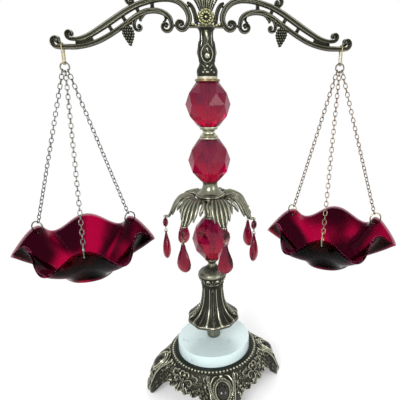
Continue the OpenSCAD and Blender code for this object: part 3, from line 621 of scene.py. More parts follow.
def ruby(name, high, low, factor):
    """Cut red glass under a polished coat, with painted light: its facets get painted tones of their own, and
    a painted glow makes it lighter further down, where light shines through.

    The share of the lighter tone is 0.62 of the way down plus 0.9 times a noise read at the facet's
    normal, less 0.25. The wall of a bead's bore, within 3.2 mm of the column's axis, is clear.
    """
    material, tree, shader = new_material(name)
    place = place_in(tree)
    height = add_node(tree, "ShaderNodeSeparateXYZ", {"Vector": place}).outputs["Z"]
    facing = add_node(tree, "ShaderNodeNewGeometry").outputs["True Normal"]
    own = maths(tree, "MULTIPLY_ADD", noise(tree, facing, 2.6, Detail=1.0), 0.9, -0.25)
    share = maths(tree, "MULTIPLY_ADD", ranged(tree, height, high, low, ease=True), 0.62, own, clamp=True)
    flat = add_node(tree, "ShaderNodeVectorMath", {0: place, 1: (1, 1, 0)}, operation="MULTIPLY")
    off = add_node(tree, "ShaderNodeVectorMath", {0: flat.outputs["Vector"]}, operation="LENGTH")
    bore = maths(tree, "LESS_THAN", off.outputs["Value"], 0.0032)
    # Painted light: a dark and a light copy of the red glass, mixed as shade and glow.
    tone = mixed(tree, share, tinted(factor * 0.4, 1, factor * 1.4), tinted(factor * 1.7, 1, factor * 1.3))
    fill(tree, shader, {
        "Base Color": mixed(tree, bore, tone, WHITE), "Roughness": 0.2, "Transmission Weight": 1.0,
        "IOR": 1.28, "Specular IOR Level": 0.3, "Coat Weight": 0.18, "Coat Roughness": 0.03})
    return material


def pressed_glass():
    """Red glass of the bowls: darker and lighter bands run up the wall, with painted glow where light shines
    through, and the rim's edge is painted pale as a highlight.

    The mark of bands and painted glow, moved by a share of noise, is eased between a dark and a light
    tone; the rim mark mixes the result to a greyish pink, a painted highlight. The index is far below
    that of glass, because the white surroundings would turn the dark walls grey.
    """
    material, tree, shader = new_material("bowl_glass")
    cloud = noise(tree, place_in(tree), 26.0, Detail=2.0, Distortion=0.6)
    moved = maths(tree, "MULTIPLY_ADD", cloud, 0.9, mark_in(tree, "streak_and_glow"))
    share = ranged(tree, moved, 0.62, 1.45, ease=True)
    tone = mixed(tree, share, tinted(0.1, 0.6, 0.24), tinted(1.4, 1, 1.5))
    fill(tree, shader, {
        "Base Color": mixed(tree, mark_in(tree, "rim"), tone, (0.45, 0.24, 0.28, 1)),
        "Normal": raised(tree, cloud, 0.35, 0.0004),
        "Roughness": 0.03, "Transmission Weight": 1.0, "IOR": 1.055})
    return material


def marble_finish():
    """Pale marble: broad clouds, and thin grey veins where a warped noise crosses its middle.

    A vein's strength falls from 1 to 0 within 0.018 of the middle, times a patchy noise.
    """
    material, tree, shader = new_material("pale_marble")
    place, tone = place_in(tree), colours().marble
    cloud = noise(tree, place, 22.0, Detail=5.0, Roughness=0.6, Distortion=0.8)
    warp = noise(tree, place, 34.0, Detail=6.0, Roughness=0.55, Distortion=1.6)
    far = maths(tree, "ABSOLUTE", maths(tree, "SUBTRACT", warp, 0.5))
    vein = ranged(tree, far, 0.0, 0.018, 1.0, 0.0, ease=True)
    patch = ranged(tree, noise(tree, place, 46.0, Detail=2.0), 0.5, 0.68, 0.0, 0.55, ease=True)
    ground = mixed(tree, cloud, rgba(tone, 0.9), rgba(tone, 1.08))
    fill(tree, shader, {
        "Base Color": mixed(tree, maths(tree, "MULTIPLY", vein, patch), ground, (0.3, 0.34, 0.35, 1)),
        "Roughness": ranged(tree, cloud, first=0.22, last=0.38),
        "Subsurface Weight": 0.12, "Subsurface Radius": (0.004, 0.004, 0.004)})
    return material


def dull(name, colour, roughness, specular):
    """Dense material without metal's shine, such as the ring round the marble, with a fine grain."""
    material, tree, shader = new_material(name)
    grain = noise(tree, place_in(tree), 700.0, Detail=3.0)
    fill(tree, shader, {
        "Base Color": mixed(tree, grain, rgba(colour, 0.7), rgba(colour, 1.4)),
        "Normal": raised(tree, grain, 0.3, 0.00005),
        "Roughness": roughness, "Specular IOR Level": specular})
    return material


FOOT_PROFILE = np.array([[PLATE_R + 0.4, BASE_H - 0.4], [PLATE_R + 7, BASE_H - 4.5],
                         [PLATE_R + 18, BASE_H - 12], [FOOT_REACH - 9, BASE_H * 0.56],
                         [FOOT_REACH - 5, BASE_H * 0.34], [FOOT_REACH - 3.5, BASE_H * 0.16],
                         [FOOT_REACH - 3, 0.0]])
EDGE_SHARES = np.array([[0.0, 0.0], [0.2, 0.14], [0.45, 0.34], [0.7, 0.54], [0.85, 0.73],
                        [0.95, 0.88], [1.0, 1.0]])
EDGE_PROFILE = np.stack([PLATE_R + 0.4 + (SKIRT_R - PLATE_R - 0.4) * EDGE_SHARES[:, 0],
                         BASE_H - 0.4 + (SKIRT_Z - BASE_H + 0.4) * EDGE_SHARES[:, 1]], 1)
SCALLOPS = 36
RIM_R = 48.55
RIM = np.array([[RIM_R, -3.8, 0.05], [RIM_R, 1.8, 0.1], [49.2, 2.2, 0.3], [50.4, 2.1, 0.25],
                [50.9, 1.2, 0.1], [53.4, 1.0, 0.1], [54.3, 0.7, 0.5], [54.5, 0.1, 0.3]])
TOE_R, TOE_HALF, SKIRT_WALL, PEARL_ROW_R = 6.5, 8.4, 2.4, 52.1
FLOOR = np.array([[3.0, -4], [49.0, -4], [49.0, -0.1], [3.0, -0.1]])


def foot_weight(angle):
    """1 in the middle of a foot and 0 between: e to the minus (degrees off / 16) to the fourth."""
    return np.exp(-(((angle + 45) % 90 - 45) / 16.0) ** 4)


def skirt_at(angle, share):
    """Point of the skirt at an angle from a foot's middle and a share 0 to 6 of the way down.

    The section runs from the edge's profile to the foot's by the foot's weight, and a cosine
    scallops the edge between the feet.
    """
    weight = foot_weight(angle)[..., None, None]
    knots = EDGE_PROFILE * (1 - weight) + FOOT_PROFILE * weight
    p = on_curve(knots, np.clip(share, 0, 6))
    lobe = 1.1 * np.cos(np.radians(SCALLOPS * angle)) * (1 - weight[..., 0, 0]) * (share / 6) ** 1.5
    return polar(p[..., 0] + lobe, np.radians(angle), p[..., 1] - lobe)


def skirt_face(profile, middle):
    """Surface of the skirt about an angle: u millimetres sideways, v millimetres down from the plate."""
    length = run(profile)

    def face(u, v):
        r = np.interp(v, length, profile[:, 0])
        return skirt_at(middle + np.degrees(u / r), np.interp(v, length, np.arange(len(profile))))

    return face


foot_face = skirt_face(FOOT_PROFILE, 0)
panel_face = skirt_face(EDGE_PROFILE, -45)
FOOT_STROKES = [
    [[15.5, 1.5, 0.7], [17, 7, 1.1], [16.4, 14, 1.2], [14.6, 22, 1.1], [13.6, 30, 1], [13.4, 38, 1],
     [12.4, 46, 0.9], [10.4, 53, 0.7]],
    [[4.5, 2.4, 0.5], [8, 3.6, 0.9], [11.6, 8, 1.1], [13.2, 14, 1.1], [12.4, 20, 1], [10.2, 25, 0.7]],
    [[2.2, 35, 0.5], [5.5, 34, 0.9], [8.6, 36.4, 1.1], [9.4, 40.4, 1], [7, 43, 0.9], [4.4, 41.6, 0.7],
     [5, 39.4, 0.5]],
    [[0, 44, 0.6], [1.4, 48, 1], [0.6, 53, 0.8]],
    [[3.8, 46, 0.5], [5.6, 50, 0.9], [6.2, 55, 0.7]],
    [[18.5, 4, 0.6], [21.6, 8, 1], [21.4, 13.4, 1.2], [18.4, 16.4, 1], [16.6, 14, 0.7], [18.2, 11.6, 0.5]],
    [[16.6, 20, 0.6], [19.6, 19, 1], [21.6, 22.4, 1.1], [19.4, 26, 0.9], [16.8, 24.8, 0.6]],
]
FOOT_PEARLS = [[14.4, 4], [15, 10], [14.2, 17], [12.4, 24], [11.6, 31], [11.2, 38], [10.2, 45]]
PANEL_STROKES = [
    [[0, 4, 0.6], [1.6, 2.4, 0.9], [4.8, 2.6, 1], [6.4, 5.6, 1], [4.6, 8, 0.8], [2.6, 7, 0.5]],
    [[1.6, 12.4, 0.5], [5.4, 9.6, 0.9], [9.6, 9.4, 1.1], [12.4, 12.2, 1.1], [11.4, 15.6, 0.9],
     [8.4, 15.4, 0.7], [8.2, 13.2, 0.5]],
    [[8.6, 2, 0.5], [12, 4, 0.9], [15.6, 4.4, 1.1], [18, 7, 1], [16.4, 9.4, 0.7]],
    [[0, 9, 0.6], [0, 13, 1.2], [0, 18.6, 1], [0, 23.4, 0.6]],
    [[2.2, 14, 0.5], [3.2, 17, 1], [4.2, 21, 0.9], [4.6, 24.4, 0.5]],
    [[5.4, 16.6, 0.5], [7, 19, 1], [8.4, 22, 0.9], [9.2, 24.6, 0.5]],
]
FILIGREE = [
    [14.5, 1.1, 2.0, 40, 1], [19.5, 0.8, 2.0, 200, -1], [25, 0.7, 1.9, 60, 1], [17.5, 2.0, 2.2, 300, 1],
    [22.5, 2.0, 2.3, 120, -1], [27.5, 2.2, 2.0, 250, 1], [14.8, 3.0, 2.1, 80, -1], [19.6, 3.1, 2.3, 10, 1],
    [24.4, 3.4, 2.4, 190, -1], [29.2, 3.9, 2.2, 330, 1], [17.2, 4.0, 2.2, 220, -1], [21.6, 4.4, 2.4, 70, 1],
    [26.4, 4.7, 2.3, 280, -1], [12.8, 4.1, 1.9, 150, 1], [13.6, 5.0, 1.9, 20, -1], [18.2, 5.2, 2.1, 100, 1],
    [38.5, 4.4, 2.0, 240, -1], [42.6, 4.0, 1.7, 60, 1], [33.8, 1.0, 1.8, 140, -1], [33.4, 4.9, 2.0, 20, 1],
    [31.4, 2.3, 1.8, 90, 1],
]


def skirt_chart(angle, share):
    """Surface of the skirt near an angle and a share, with u and v in millimetres from there."""
    angle, share = float(angle), float(share)
    at = np.array([[angle - 1, share], [angle + 1, share], [angle, share - 0.1], [angle, share + 0.1]])
    p = skirt_at(at[:, 0], at[:, 1])
    across = np.linalg.norm(p[1] - p[0]) / 2
    down = np.linalg.norm(p[3] - p[2]) / 0.2
    return lambda u, v: skirt_at(angle + u / across, share + v / down)


def scroll(shape, surface, size, start, hand, height=1.1, wire=0.62):
    """Small spiral on a surface: its radius falls evenly over one and a third turns, with a pearl in it."""
    stroke = curl(0, 0, size, size * 0.34, wire * 0.6, wire, start, start + hand * 470, 9)
    ridge(shape, surface, stroke, height, steps=2, arc=5)
    dome(shape, surface, (0, 0), (0.55, 0.55), height, rings=4, sides=7, wear=(0.3, 1.0))


def skirt_skin(shape):
    """Adds the skirt as one closed skin: up the rim, down the outside, and back along the inside."""
    angle = np.arange(576) * 360 / 576
    share = np.linspace(0, 6, 49)[:, None]
    outer = skirt_at(*np.broadcast_arrays(angle[None], share))
    foot = foot_weight(angle)
    flute = 0.5 + 0.5 * np.cos(np.radians(SCALLOPS * angle))
    shade = (0.08 + 0.35 * flute * fade(share, 4.2, 6.0) * (1 - foot) + 0.15 * fade(share, 5.6, 6.0)
             + 0.04 * foot)
    normal = unit(np.cross(np.gradient(outer, axis=0), np.gradient(outer, axis=1)))
    inner = outer[::-6] - normal[::-6] * SKIRT_WALL
    rim = polar(RIM[:, :1], np.radians(angle), BASE_H + RIM[:, 1:2])
    under = polar(RIM_R, np.radians(angle), BASE_H - 4)[None]
    dark = np.full((len(inner) + 1, len(angle)), 0.1)
    shape.tube(np.concatenate([rim, outer, inner, under]),
               np.concatenate([np.broadcast_to(RIM[:, 2:], rim.shape[:2]), shade, dark]), closed=True)


def toe(shape):
    """Adds the ribbed roll on which the foot on +X stands, cut flat by the floor."""
    width = np.linspace(-TOE_HALF, TOE_HALF, 27)[:, None]
    wave = np.cos(width * 2.3)
    radius = TOE_R + 0.45 * wave - 3.2 * fade(np.abs(width) / TOE_HALF, 0.84, 1.0)
    phi = circle(32)
    shape.tube(np.stack([FOOT_REACH - 7.05 + radius * np.cos(phi), width + 0 * phi,
                         np.maximum(TOE_R + radius * np.sin(phi), 0.0)], -1), 0.55 + 0.25 * wave)


class SCALE_OT_base(bpy.types.Operator):
    """Cast base: rim with pearls, scrolled skirt with a scalloped edge, and four scrolled feet"""

    bl_idname = "scale.base"
    bl_label = "Base"

    def execute(self, context):
        shape, detail = Shape(), Shape()
        skirt_skin(shape)
        shape.tube(polar(FLOOR[:, :1], circle(96), BASE_H + FLOOR[:, 1:]), 0.12, closed=True)
        pearls = polar(PEARL_ROW_R, circle(sizes().pearls), BASE_H + 1.5)
        balls(shape, pearls, sizes().pearl / MM, 0.72, rows=6, cols=9)
        for stroke in FOOT_STROKES:
            ridge(detail, foot_face, stroke, 1.6)
        pearls_along(detail, foot_face, FOOT_PEARLS, 2.1, 0.85)
        for stroke in PANEL_STROKES:
            ridge(detail, panel_face, stroke, 1.5)
        detail.mirrored(1)
        for face, v, half, height in ((foot_face, 2.6, (2.6, 2.2), 1.8), (foot_face, 38.5, (2.4, 2.4), 1.6),
                                      (panel_face, 6, (2.1, 2.1), 1.8)):
            dome(detail, face, (0, v), half, height)
        toe(detail)
        detail.repeated(4)
        shape.join(detail)
        shape.repeated(1, BASE_TURN - 90)
        add_casting("base_relief", shape, antique(), "base_casting")
        return {"FINISHED"}


class SCALE_OT_filigree(bpy.types.Operator):
    """Small scrolls and pearls between the large ones of the skirt, and curled lobes along its edge"""

    bl_idname = "scale.filigree"
    bl_label = "Filigree"

    def execute(self, context):
        lace = Shape()
        for angle, share, size, start, hand in FILIGREE:
            scroll(lace, skirt_chart(angle, share), size, start, hand)
        for k, angle in enumerate((23.2, 27.4, 31.6, 35.8, 40.0, 44.0)):
            scroll(lace, skirt_chart(angle, 5.66 - 0.1 * (k % 2)), 2.1, 250 - 140 * (k % 2), 1 - 2 * (k % 2),
                   height=1.5, wire=0.8)
        spots = np.array([[a, s] for a in np.arange(13.5, 45, 2.5) for s in (1.5, 2.6, 3.7)])
        spots[:, 0] += 1.2 * (np.round(spots[:, 1] * 2) % 2)
        balls(lace, skirt_at(spots[:, 0], spots[:, 1]), 0.62, 0.7, rows=4, cols=6)
        lace.mirrored(1)
        lace.repeated(4, BASE_TURN - 90)
        add_casting("base_filigree", lace, antique())
        return {"FINISHED"}


class SCALE_OT_medallions(bpy.types.Operator):
    """Dark domed stones on the feet, each in an oval moulding with a row of pearls round it"""

    bl_idname = "scale.medallions"
    bl_label = "Medallions"

    def execute(self, context):
        at = (0, 18.6)
        stones = Shape()
        dome(stones, foot_face, at, (6.9, 9.4), 4.6, sunk=0.6, rings=12, sides=40)
        stones.repeated(4, BASE_TURN - 90)
        stone = dull("dark_stone", (0.016, 0.014, 0.01), 0.07, 0.4)
        add_casting("foot_stones", stones, stone)
        frames = Shape()
        oval_ring(frames, foot_face, at, (7.9, 10.4), 1.15, 2.5)
        oval_ring(frames, foot_face, at, (9.6, 12.2), 0.5, 1.0)
        turn = circle(40)
        ring = lifted(foot_face, at[0] + 10.7 * np.cos(turn), at[1] + 13.4 * np.sin(turn), 0.5)
        balls(frames, ring, 0.85, 0.85, rows=5, cols=8)
        frames.repeated(4, BASE_TURN - 90)
        add_casting("foot_frames", frames, antique())
        return {"FINISHED"}


BELL_PROFILE = [[BORE_R, 14.0], [14.5, 14.0], [20, 9.7], [25.5, 5], [29.2, 0.5], [30.2, -0.2], [31.6, 0.2],
                [32.4, 1.6], [32.1, 3.2], [30.4, 5.2], [25.3, 9], [20.2, 14], [16.7, 19.5], [14.9, 24.5],
                [13.8, 29.5], [13.1, 35], [12.7, 40], [12.7, 44], [13, 46.4], [13.4, 48.2], [13.2, 49.3],
                [BORE_R, 49.3]]
BELL_STEPS, FLUTES = 5, 10
BELL_STEM = [[0, 8, 0.25], [0, 12, 0.5], [0, 20, 0.55], [0, 30, 0.7], [0, 38, 0.8], [0, 44, 0.5]]


def bell_radius(height):
    """Radius of the outside of the pedestal's bell at a height above its lip."""
    outside = np.array(BELL_PROFILE[8:20])
    return np.interp(height, outside[:, 1], outside[:, 0])


def bell_scallop(angle, height):
    """How far the flutes draw the radius in: deepest between two flutes and at the lip."""
    depth = 0.5 + 1.1 * (1 - fade(height, 0, 22)) - 0.4 * fade(height, 40, 49)
    return depth * (np.cos(FLUTES * (angle - np.pi / 2)) - 1) / 2


def bell_face(u, v):
    """Front of the pedestal: u millimetres sideways, v millimetres down from its top."""
    height = np.clip(49.3 - v, 0.5, 49.0)
    r = bell_radius(height)
    a = u / r - np.pi / 2
    return polar(r + bell_scallop(a, height), a, LIP_Z + height)


class SCALE_OT_pedestal(bpy.types.Operator):
    """Fluted bell of the pedestal: bright ridges round its panels, a leafy stem in each second one"""

    bl_idname = "scale.pedestal"
    bl_label = "Pedestal"

    def execute(self, context):
        shape = Shape()
        p = smooth(BELL_PROFILE, BELL_STEPS)
        a, z = circle(300), p[:, 1:]
        outside = (np.arange(len(p)) >= BELL_STEPS * 5)[:, None]
        phase = np.cos(FLUTES * (a - np.pi / 2))
        near = bump(phase, -1, 0.1)
        middle = bump(phase, 1, 0.03) * (1 - fade(z, 26, 36))
        panel = fade(z, 1.5, 7) * (1 - fade(z, 43, 47))
        raised_by = panel * sizes().flute / MM * (near + 0.5 * middle) - 0.7 * np.clip(phase, 0, 1) * panel
        lip = bump(z, 1.2, 0.5) + bump(z, 3.4, 0.5)
        shade = 0.1 + outside * (0.95 * near ** 1.5 * panel + 0.3 * middle * panel + 0.36 * lip
                                 + 0.26 * (1 - fade(z, 3, 20)))
        r = p[:, :1] + outside * (bell_scallop(a, z) + raised_by)
        shape.tube(polar(r, a, LIP_Z + z), np.clip(shade, 0, 1), closed=True)
        motif = Shape()
        ridge(motif, bell_face, BELL_STEM, 1.0, sunk=1.2)
        for level in np.arange(9, 40, 3.4):
            size = 0.5 + level * 0.02
            leaf = [[0.2, level + 3.0, 0.3], [1.2 * size, level + 1.4, 0.55 * size],
                    [2.1 * size, level - 1.0, 0.25]]
            ridge(motif, bell_face, leaf, 0.7, steps=3, sunk=1.2, arc=5)
        motif.mirrored(0)
        dome(motif, bell_face, (0, 6.6), (0.8, 1.5), 1.1, sunk=1.2)
        arches = Shape()
        for side in (-1, 1):
            arch = [[side * 2.3, 40, 0.3], [side * 2.2, 26, 0.4], [side * 2.0, 12, 0.4],
                    [side * 1.5, 7.6, 0.42], [side * 0.7, 4.4, 0.4], [0, 2.8, 0.3]]
            ridge(arches, bell_face, arch, 0.8, sunk=0.9, wear=(0.12, 0.75))
        pearls, around = Shape(), circle(60)
        lip_r = 30.9 + bell_scallop(around, 4.2)
        balls(pearls, polar(lip_r, around, LIP_Z + 4.6), 0.6, 0.45, rows=5, cols=7)
        for part, count in ((motif, FLUTES // 2), (arches, FLUTES // 2), (pearls, 1)):
            part.repeated(count)
            shape.join(part)
        add_casting("pedestal_fluting", shape, antique(), "pedestal_bell")
        return {"FINISHED"}


class SCALE_OT_stem(bpy.types.Operator):
    """Short turned stem between the marble and the pedestal, rounded in at its foot"""

    bl_idname = "scale.stem"
    bl_label = "Stem"

    def execute(self, context):
        shape = Shape()
        low = seat("pedestal_stem")
        high = top("pedestal_stem") - low
        shoulder = high - 8
        profile = [[BORE_R, 0], [6.6, 0], [7.6, 0.7], [8.3, 2.2], [8.5, 4.6], [8.3, 8], [8.1, 14], [8.2, 22],
                   [8.8, shoulder - 1.5], [9.6, shoulder], [9.6, high], [BORE_R, high]]
        revolve(shape, low, profile, 72, lambda a, z: 0.5 + 0.25 * fade(z, 1, 5))
        add_casting("stem_turning", shape, turned_brass("stem_brass", 0.62), "pedestal_stem")
        return {"FINISHED"}


def turned_face(profile, low, high, radius):
    """Front of a turned form: u millimetres sideways at a radius, v millimetres down from a height."""

    def face(u, v):
        r = np.interp(high - v, profile[:, 1], profile[:, 0])
        return polar(r, u / radius - np.pi / 2, low + high - v)

    return face


KNOB_PROFILE = np.array([[BORE_R, 0], [12.3, 0], [12.9, 0.7], [12.6, 1.6], [13.3, 3], [14.7, 5.4],
                         [15.8, 7.8], [16.3, 9.6], [16.2, 10.3], [16.9, 11.1], [17.1, 12.3], [16.5, 14],
                         [14.9, 15.9], [12.3, 17.6], [9.4, 19.2], [7.2, 20.8], [6, 22.2], [5.7, 23],
                         [BORE_R, 23]])
KNOB_STROKES = (
    [[0, 9.6, 0.4], [0, 6.5, 0.8], [0, 3.4, 0.7], [0, 1.6, 0.3]],
    [[0.8, 9.4, 0.3], [2.2, 7, 0.7], [3.3, 4.4, 0.7], [3.4, 2.2, 0.3]],
    [[-0.8, 9.4, 0.3], [-2.2, 7, 0.7], [-3.3, 4.4, 0.7], [-3.4, 2.2, 0.3]],
)


class SCALE_OT_knob(bpy.types.Operator):
    """Egg-shaped knob on the pedestal: smooth above, leaves and pearls on the half that narrows below"""

    bl_idname = "scale.knob"
    bl_label = "Knob"

    def execute(self, context):
        shape, leaf = Shape(), Shape()
        # The smooth upper half is lighter, in part as a painted highlight, and its top under the spool is
        # darker, as painted shade; the bead at the foot is bright.
        revolve(shape, KNOB_Z, KNOB_PROFILE, 96, lambda a, z: (
            0.14 + 0.46 * fade(z, 10.4, 11.6) - 0.25 * fade(z, 16, 21) + 0.45 * bump(z, 0.8, 0.6)))
        face = turned_face(KNOB_PROFILE[2:10], KNOB_Z, 11, 14.5)
        for stroke in KNOB_STROKES:
            ridge(leaf, face, stroke, 0.8)
        dome(leaf, face, (5.06, 3.0), (1.9, 1.9), 1.9, rings=6, sides=16, wear=(0.2, 1.1))
        ridge(leaf, face, [[5.06, 9.4, 0.4], [5.06, 7, 0.7], [5.06, 5, 0.4]], 0.7)
        leaf.repeated(9)
        shape.join(leaf)
        add_casting("pedestal_ball", shape, antique(), "pedestal_knob")
        return {"FINISHED"}


def groove_shade(*grooves):
    """Mark of a turned piece: dark within 0.9 millimetres of the heights of its grooves, and lighter
    elsewhere.
    """
    return lambda a, z: 0.25 + 0.65 * fade(np.abs(z[..., None] - grooves).min(-1), 0, 0.9)


SPOOLS = (
    ("cup_turning", "lower_cup", 0.75, (1.0, 8.9),
     [[BORE_R, 0], [5.3, 0], [5.3, 0.7], [4.7, 1.3], [4.6, 2.8], [5.2, 4], [6.4, 5.4], [7.6, 6.6],
      [8.4, 7.6], [8.7, 8.4], [8.3, 8.9], [8.7, 9.4], [8.6, 10], [BORE_R, 10]]),
    ("bell_turning", "bell_spool", 0.6, (1.5, 5.0, 18.4),
     [[BORE_R, 0], [14.5, 0], [15.4, 0.6], [15.6, 1.3], [16.5, 2.1], [16.7, 3.2], [16.3, 4.1],
      [15.1, 4.7], [14.9, 5.3], [13.3, 6.4], [11.4, 8.4], [9.8, 10.8], [8.7, 13.6], [8.3, 16.4],
      [8.5, 18.2], [9, 19.2], [9, 20], [BORE_R, 20]]),
    ("waist_turning", "waist_spool", 1.4, (2.1, 5.6, 8.8, 11.0),
     [[BORE_R, 0], [9.5, 0], [10.3, 0.5], [10.4, 1.4], [9.6, 2.1], [10, 2.8], [9.3, 3.6], [7.6, 5],
      [6.8, 6], [6.6, 7.2], [7, 8.6], [8.2, 9.7], [9.7, 10.3], [9.5, 11], [10.4, 11.8], [10.4, 12.8],
      [9.8, 13.5], [BORE_R, 13.5]]),
)


class SCALE_OT_spools(bpy.types.Operator):
    """Turned pieces between the beads: the cup, the bell-shaped spool and the waisted spool"""

    bl_idname = "scale.spools"
    bl_label = "Spools"

    def execute(self, context):
        for name, node, tone, grooves, profile in SPOOLS:
            shape = Shape()
            revolve(shape, seat(node), profile, 96, groove_shade(*grooves))
            add_piece(name, shape, turned_brass(name + "_brass", tone), "stand", [node])
        return {"FINISHED"}


LEAF_REACH, LEAF_DROP, LEAF_ROOT, LEAF_HALF = 49.9, 20.3, 8.0, 12.0
LEAF_PATH = np.array([
    [LEAF_ROOT - 2.4, -7, 0.16], [LEAF_ROOT + 6.5, -2.6, 0.42], [23.5, 2.7, 0.74], [31, 3, 0.97],
    [37.3, -1.2, 1], [41.5, -7.3, 0.88], [44.4, -13.4, 0.66], [47.4, -18.5, 0.42],
    [LEAF_REACH - 0.2, -LEAF_DROP, 0.24]])
EYE_EDGE, HOLE_EDGE, HOLE_X = 3.1, 1.1, 51.0
EYE_SECTION = np.array([[1, -0.6, 0.4], [1, 0.6, 0.8], [0.85, 0.9, 0.9], [0.15, 0.9, 0.6], [0, 0.7, 0.3],
                        [0, -0.7, 0.2], [0.15, -0.9, 0.2], [0.85, -0.9, 0.3]])
MIDRIB = [[0, 10, 0.6], [0, 35, 1.2], [0, 65, 1.7], [0, 88, 1.3], [0, 97, 0.6]]
FINGERS = [
    [[0.8, 11, 0.4], [3.0, 36, 1.3], [4.7, 58, 1.7], [4.7, 75, 1.5], [3.6, 86, 1.0], [3.2, 91, 0.5]],
    [[1.6, 12, 0.4], [6.0, 33, 1.3], [9.0, 50, 1.8], [9.2, 64, 1.6], [8.3, 74, 1.1], [8.2, 79, 0.5]],
    [[2.6, 15, 0.4], [8.9, 29, 1.3], [12.9, 41, 1.6], [13.5, 51, 1.4], [13.2, 59, 0.9], [13.5, 64, 0.5]],
]


def leaf_line(v):
    """Middle line [x, height, share of the half width] of a leaf, v per cent of the way to its tip."""
    return on_curve(np.broadcast_to(LEAF_PATH, v.shape + LEAF_PATH.shape), v * (len(LEAF_PATH) - 1) / 100)


def leaf_face(u, v):
    """Upper side of the leaf on +X: u millimetres across, v per cent of the way to its tip.

    Across its middle line the skin is lifted by a camber that falls with the fourth power of the
    share of the half width.
    """
    u, v = np.broadcast_arrays(np.asarray(u, float), np.asarray(v, float))
    p = leaf_line(v)
    d = unit((leaf_line(np.minimum(v + 0.5, 100)) - leaf_line(np.maximum(v - 0.5, 0)))[..., :2])
    share = np.minimum(np.abs(u) / (LEAF_HALF * p[..., 2]), 1.25)
    lift = (2 * (p[..., 2] - 0.2) + 0.12) * (0.35 - 1.25 * share ** 4)
    return np.stack([p[..., 0] - d[..., 1] * lift, u, SPOOL_Z + p[..., 1] + d[..., 0] * lift], -1)


def leaf_plate():
    """Thin plate of one leaf: its upper side, and the same side again 1.2 millimetres lower."""
    v = np.linspace(0, 100, 57)[:, None]
    half = LEAF_HALF * leaf_line(v)[..., 2] * (1 - 0.16 * fade(v, 20, 45))
    u = half * np.linspace(-1, 1, 25)
    rings = np.concatenate([leaf_face(u, v), lifted(leaf_face, u, v, -1.2)[:, ::-1]], 1)
    return rings, np.repeat([0.3, 0.4], 25)


class SCALE_OT_leaves(bpy.types.Operator):
    """Crown of seven grooved leaves on a turned collar, each with an eye at its tip"""

    bl_idname = "scale.leaves"
    bl_label = "Leaves"

    def execute(self, context):
        leaf, fingers, collar = Shape(), Shape(), Shape()
        leaf.tube(*leaf_plate())
        height = sizes().leaf_finger / MM
        for finger in FINGERS:
            ridge(fingers, leaf_face, finger, height, steps=6, sunk=1.0, wear=(0.34, 0.7))
        fingers.mirrored(1)
        ridge(fingers, leaf_face, MIDRIB, height, steps=6, sunk=1.0, wear=(0.34, 0.7))
        leaf.join(fingers)
        a = circle(28)[:, None]
        share, up, shade = EYE_SECTION.T
        hole = polar(HOLE_EDGE, a, 0) + [HOLE_X, 0, 0]
        edge = polar(EYE_EDGE, a, 0) + [LEAF_REACH, 0, 0]
        eye = hole * (1 - share[:, None]) + edge * share[:, None]
        eye[..., 2] = SPOOL_Z - LEAF_DROP + up
        leaf.tube(eye, shade, closed=True)
        leaf.repeated(LEAVES, LEAF_TURN - 90)
        low = seat("leaf_crown")
        high = SPOOL_Z - low
        revolve(collar, low, [[BORE_R, 0], [7.4, 0], [8.2, 0.8], [8.2, 1.8], [7.5, 2.6], [7.7, 8], [7.9, 14],
                              [7.7, 17.4], [8.4, 18.6], [9.6, high - 4.6], [10.5, high - 3], [10.5, high],
                              [BORE_R, high]], 64, groove_shade(2.6, 17.6))
        leaf.join(collar)
        add_casting("leaf_crown_casting", leaf, leaf_metal(), "leaf_crown")
        return {"FINISHED"}


RAIL_HALF = 2.7
LOWER_RAIL = np.vstack([
    curl(148.8, -13.9, 1.5, 5.5, 1.3, 2.1, 255, -75, 11),
    [[145.4, -19.3, RAIL_HALF], [139, -19.3, RAIL_HALF], [131, -19.2, RAIL_HALF], [122, -18, 2.5],
     [113, -15.5, 2.5], [104.5, -12, 2.5], [95.6, -7.2, 2.5], [86.6, -1.6, 2.5], [77, 4.6, 2.7],
     [68, 10.5, 2.8], [60, 14.2, 2.8], [53.2, 15.3, 2.8], [46.5, 14.8, 2.8], [40.5, 12.6, 2.8],
     [36.4, 8.8, 2.6], [34.9, 3.6, 2.2]],
    curl(40.5, 1, 5.6, 1.7, 2.0, 1.5, 190, 520, 12)])
UPPER_RAIL = np.vstack([
    curl(135.3, -7.3, 1.3, 4.3, 1.2, 1.9, 240, -80, 10),
    [[132, -11.9, 2], [126, -11.6, 2.5], [117, -8.4, 2.8], [104.7, -1.4, 3.1], [92.5, 6.2, 3.2],
     [80.3, 13.8, 3.1], [69.2, 19.6, 3], [59.3, 23, 2.9], [48, 25.6, 2.8], [37, 26.2, 2.8],
     [28.5, 24.4, 2.9], [22.4, 20.4, 3], [18.7, 15.4, 3], [16.9, 9.4, 3], [17.9, 3.9, 2.8]],
    curl(25.4, 3.2, 5.8, 1.5, 2.6, 1.5, 215, 560, 12)])
CREST_SCROLL = np.vstack([
    [[14, 28, 1.8], [16.5, 37, 2.4], [25, 43.4, 2.6], [37, 44.6, 2.6], [50, 41, 2.4], [61, 35.6, 2.2],
     [70, 31.3, 2.1]],
    curl(74, 24.6, 4.8, 1.5, 2, 1.2, 70, -250, 11)])
SMALL_SCROLL = np.vstack([
    [[65, 12.4, 2], [69.3, 9.4, 2.3], [71.8, 4.8, 2.1]], curl(67.6, 0.2, 4.3, 1.4, 1.8, 1, 5, -280, 9)])
STRAP = np.vstack([
    curl(18.3, 20.8, 0.9, 2.4, 0.8, 1.4, 330, 90, 6),
    [[15.4, 21.6, 1.9], [12.8, 17.8, 2.2], [11, 12.6, 2.2], [10.2, 7.4, 2.1], [9.6, 1.6, 1.9]]])
WEB = [[130.5, -15.6, 1.3], [127, -15.3, 2.0], [122, -14.2, 2.4], [117, -12.7, 2.5], [113.4, -11.2, 2.2]]
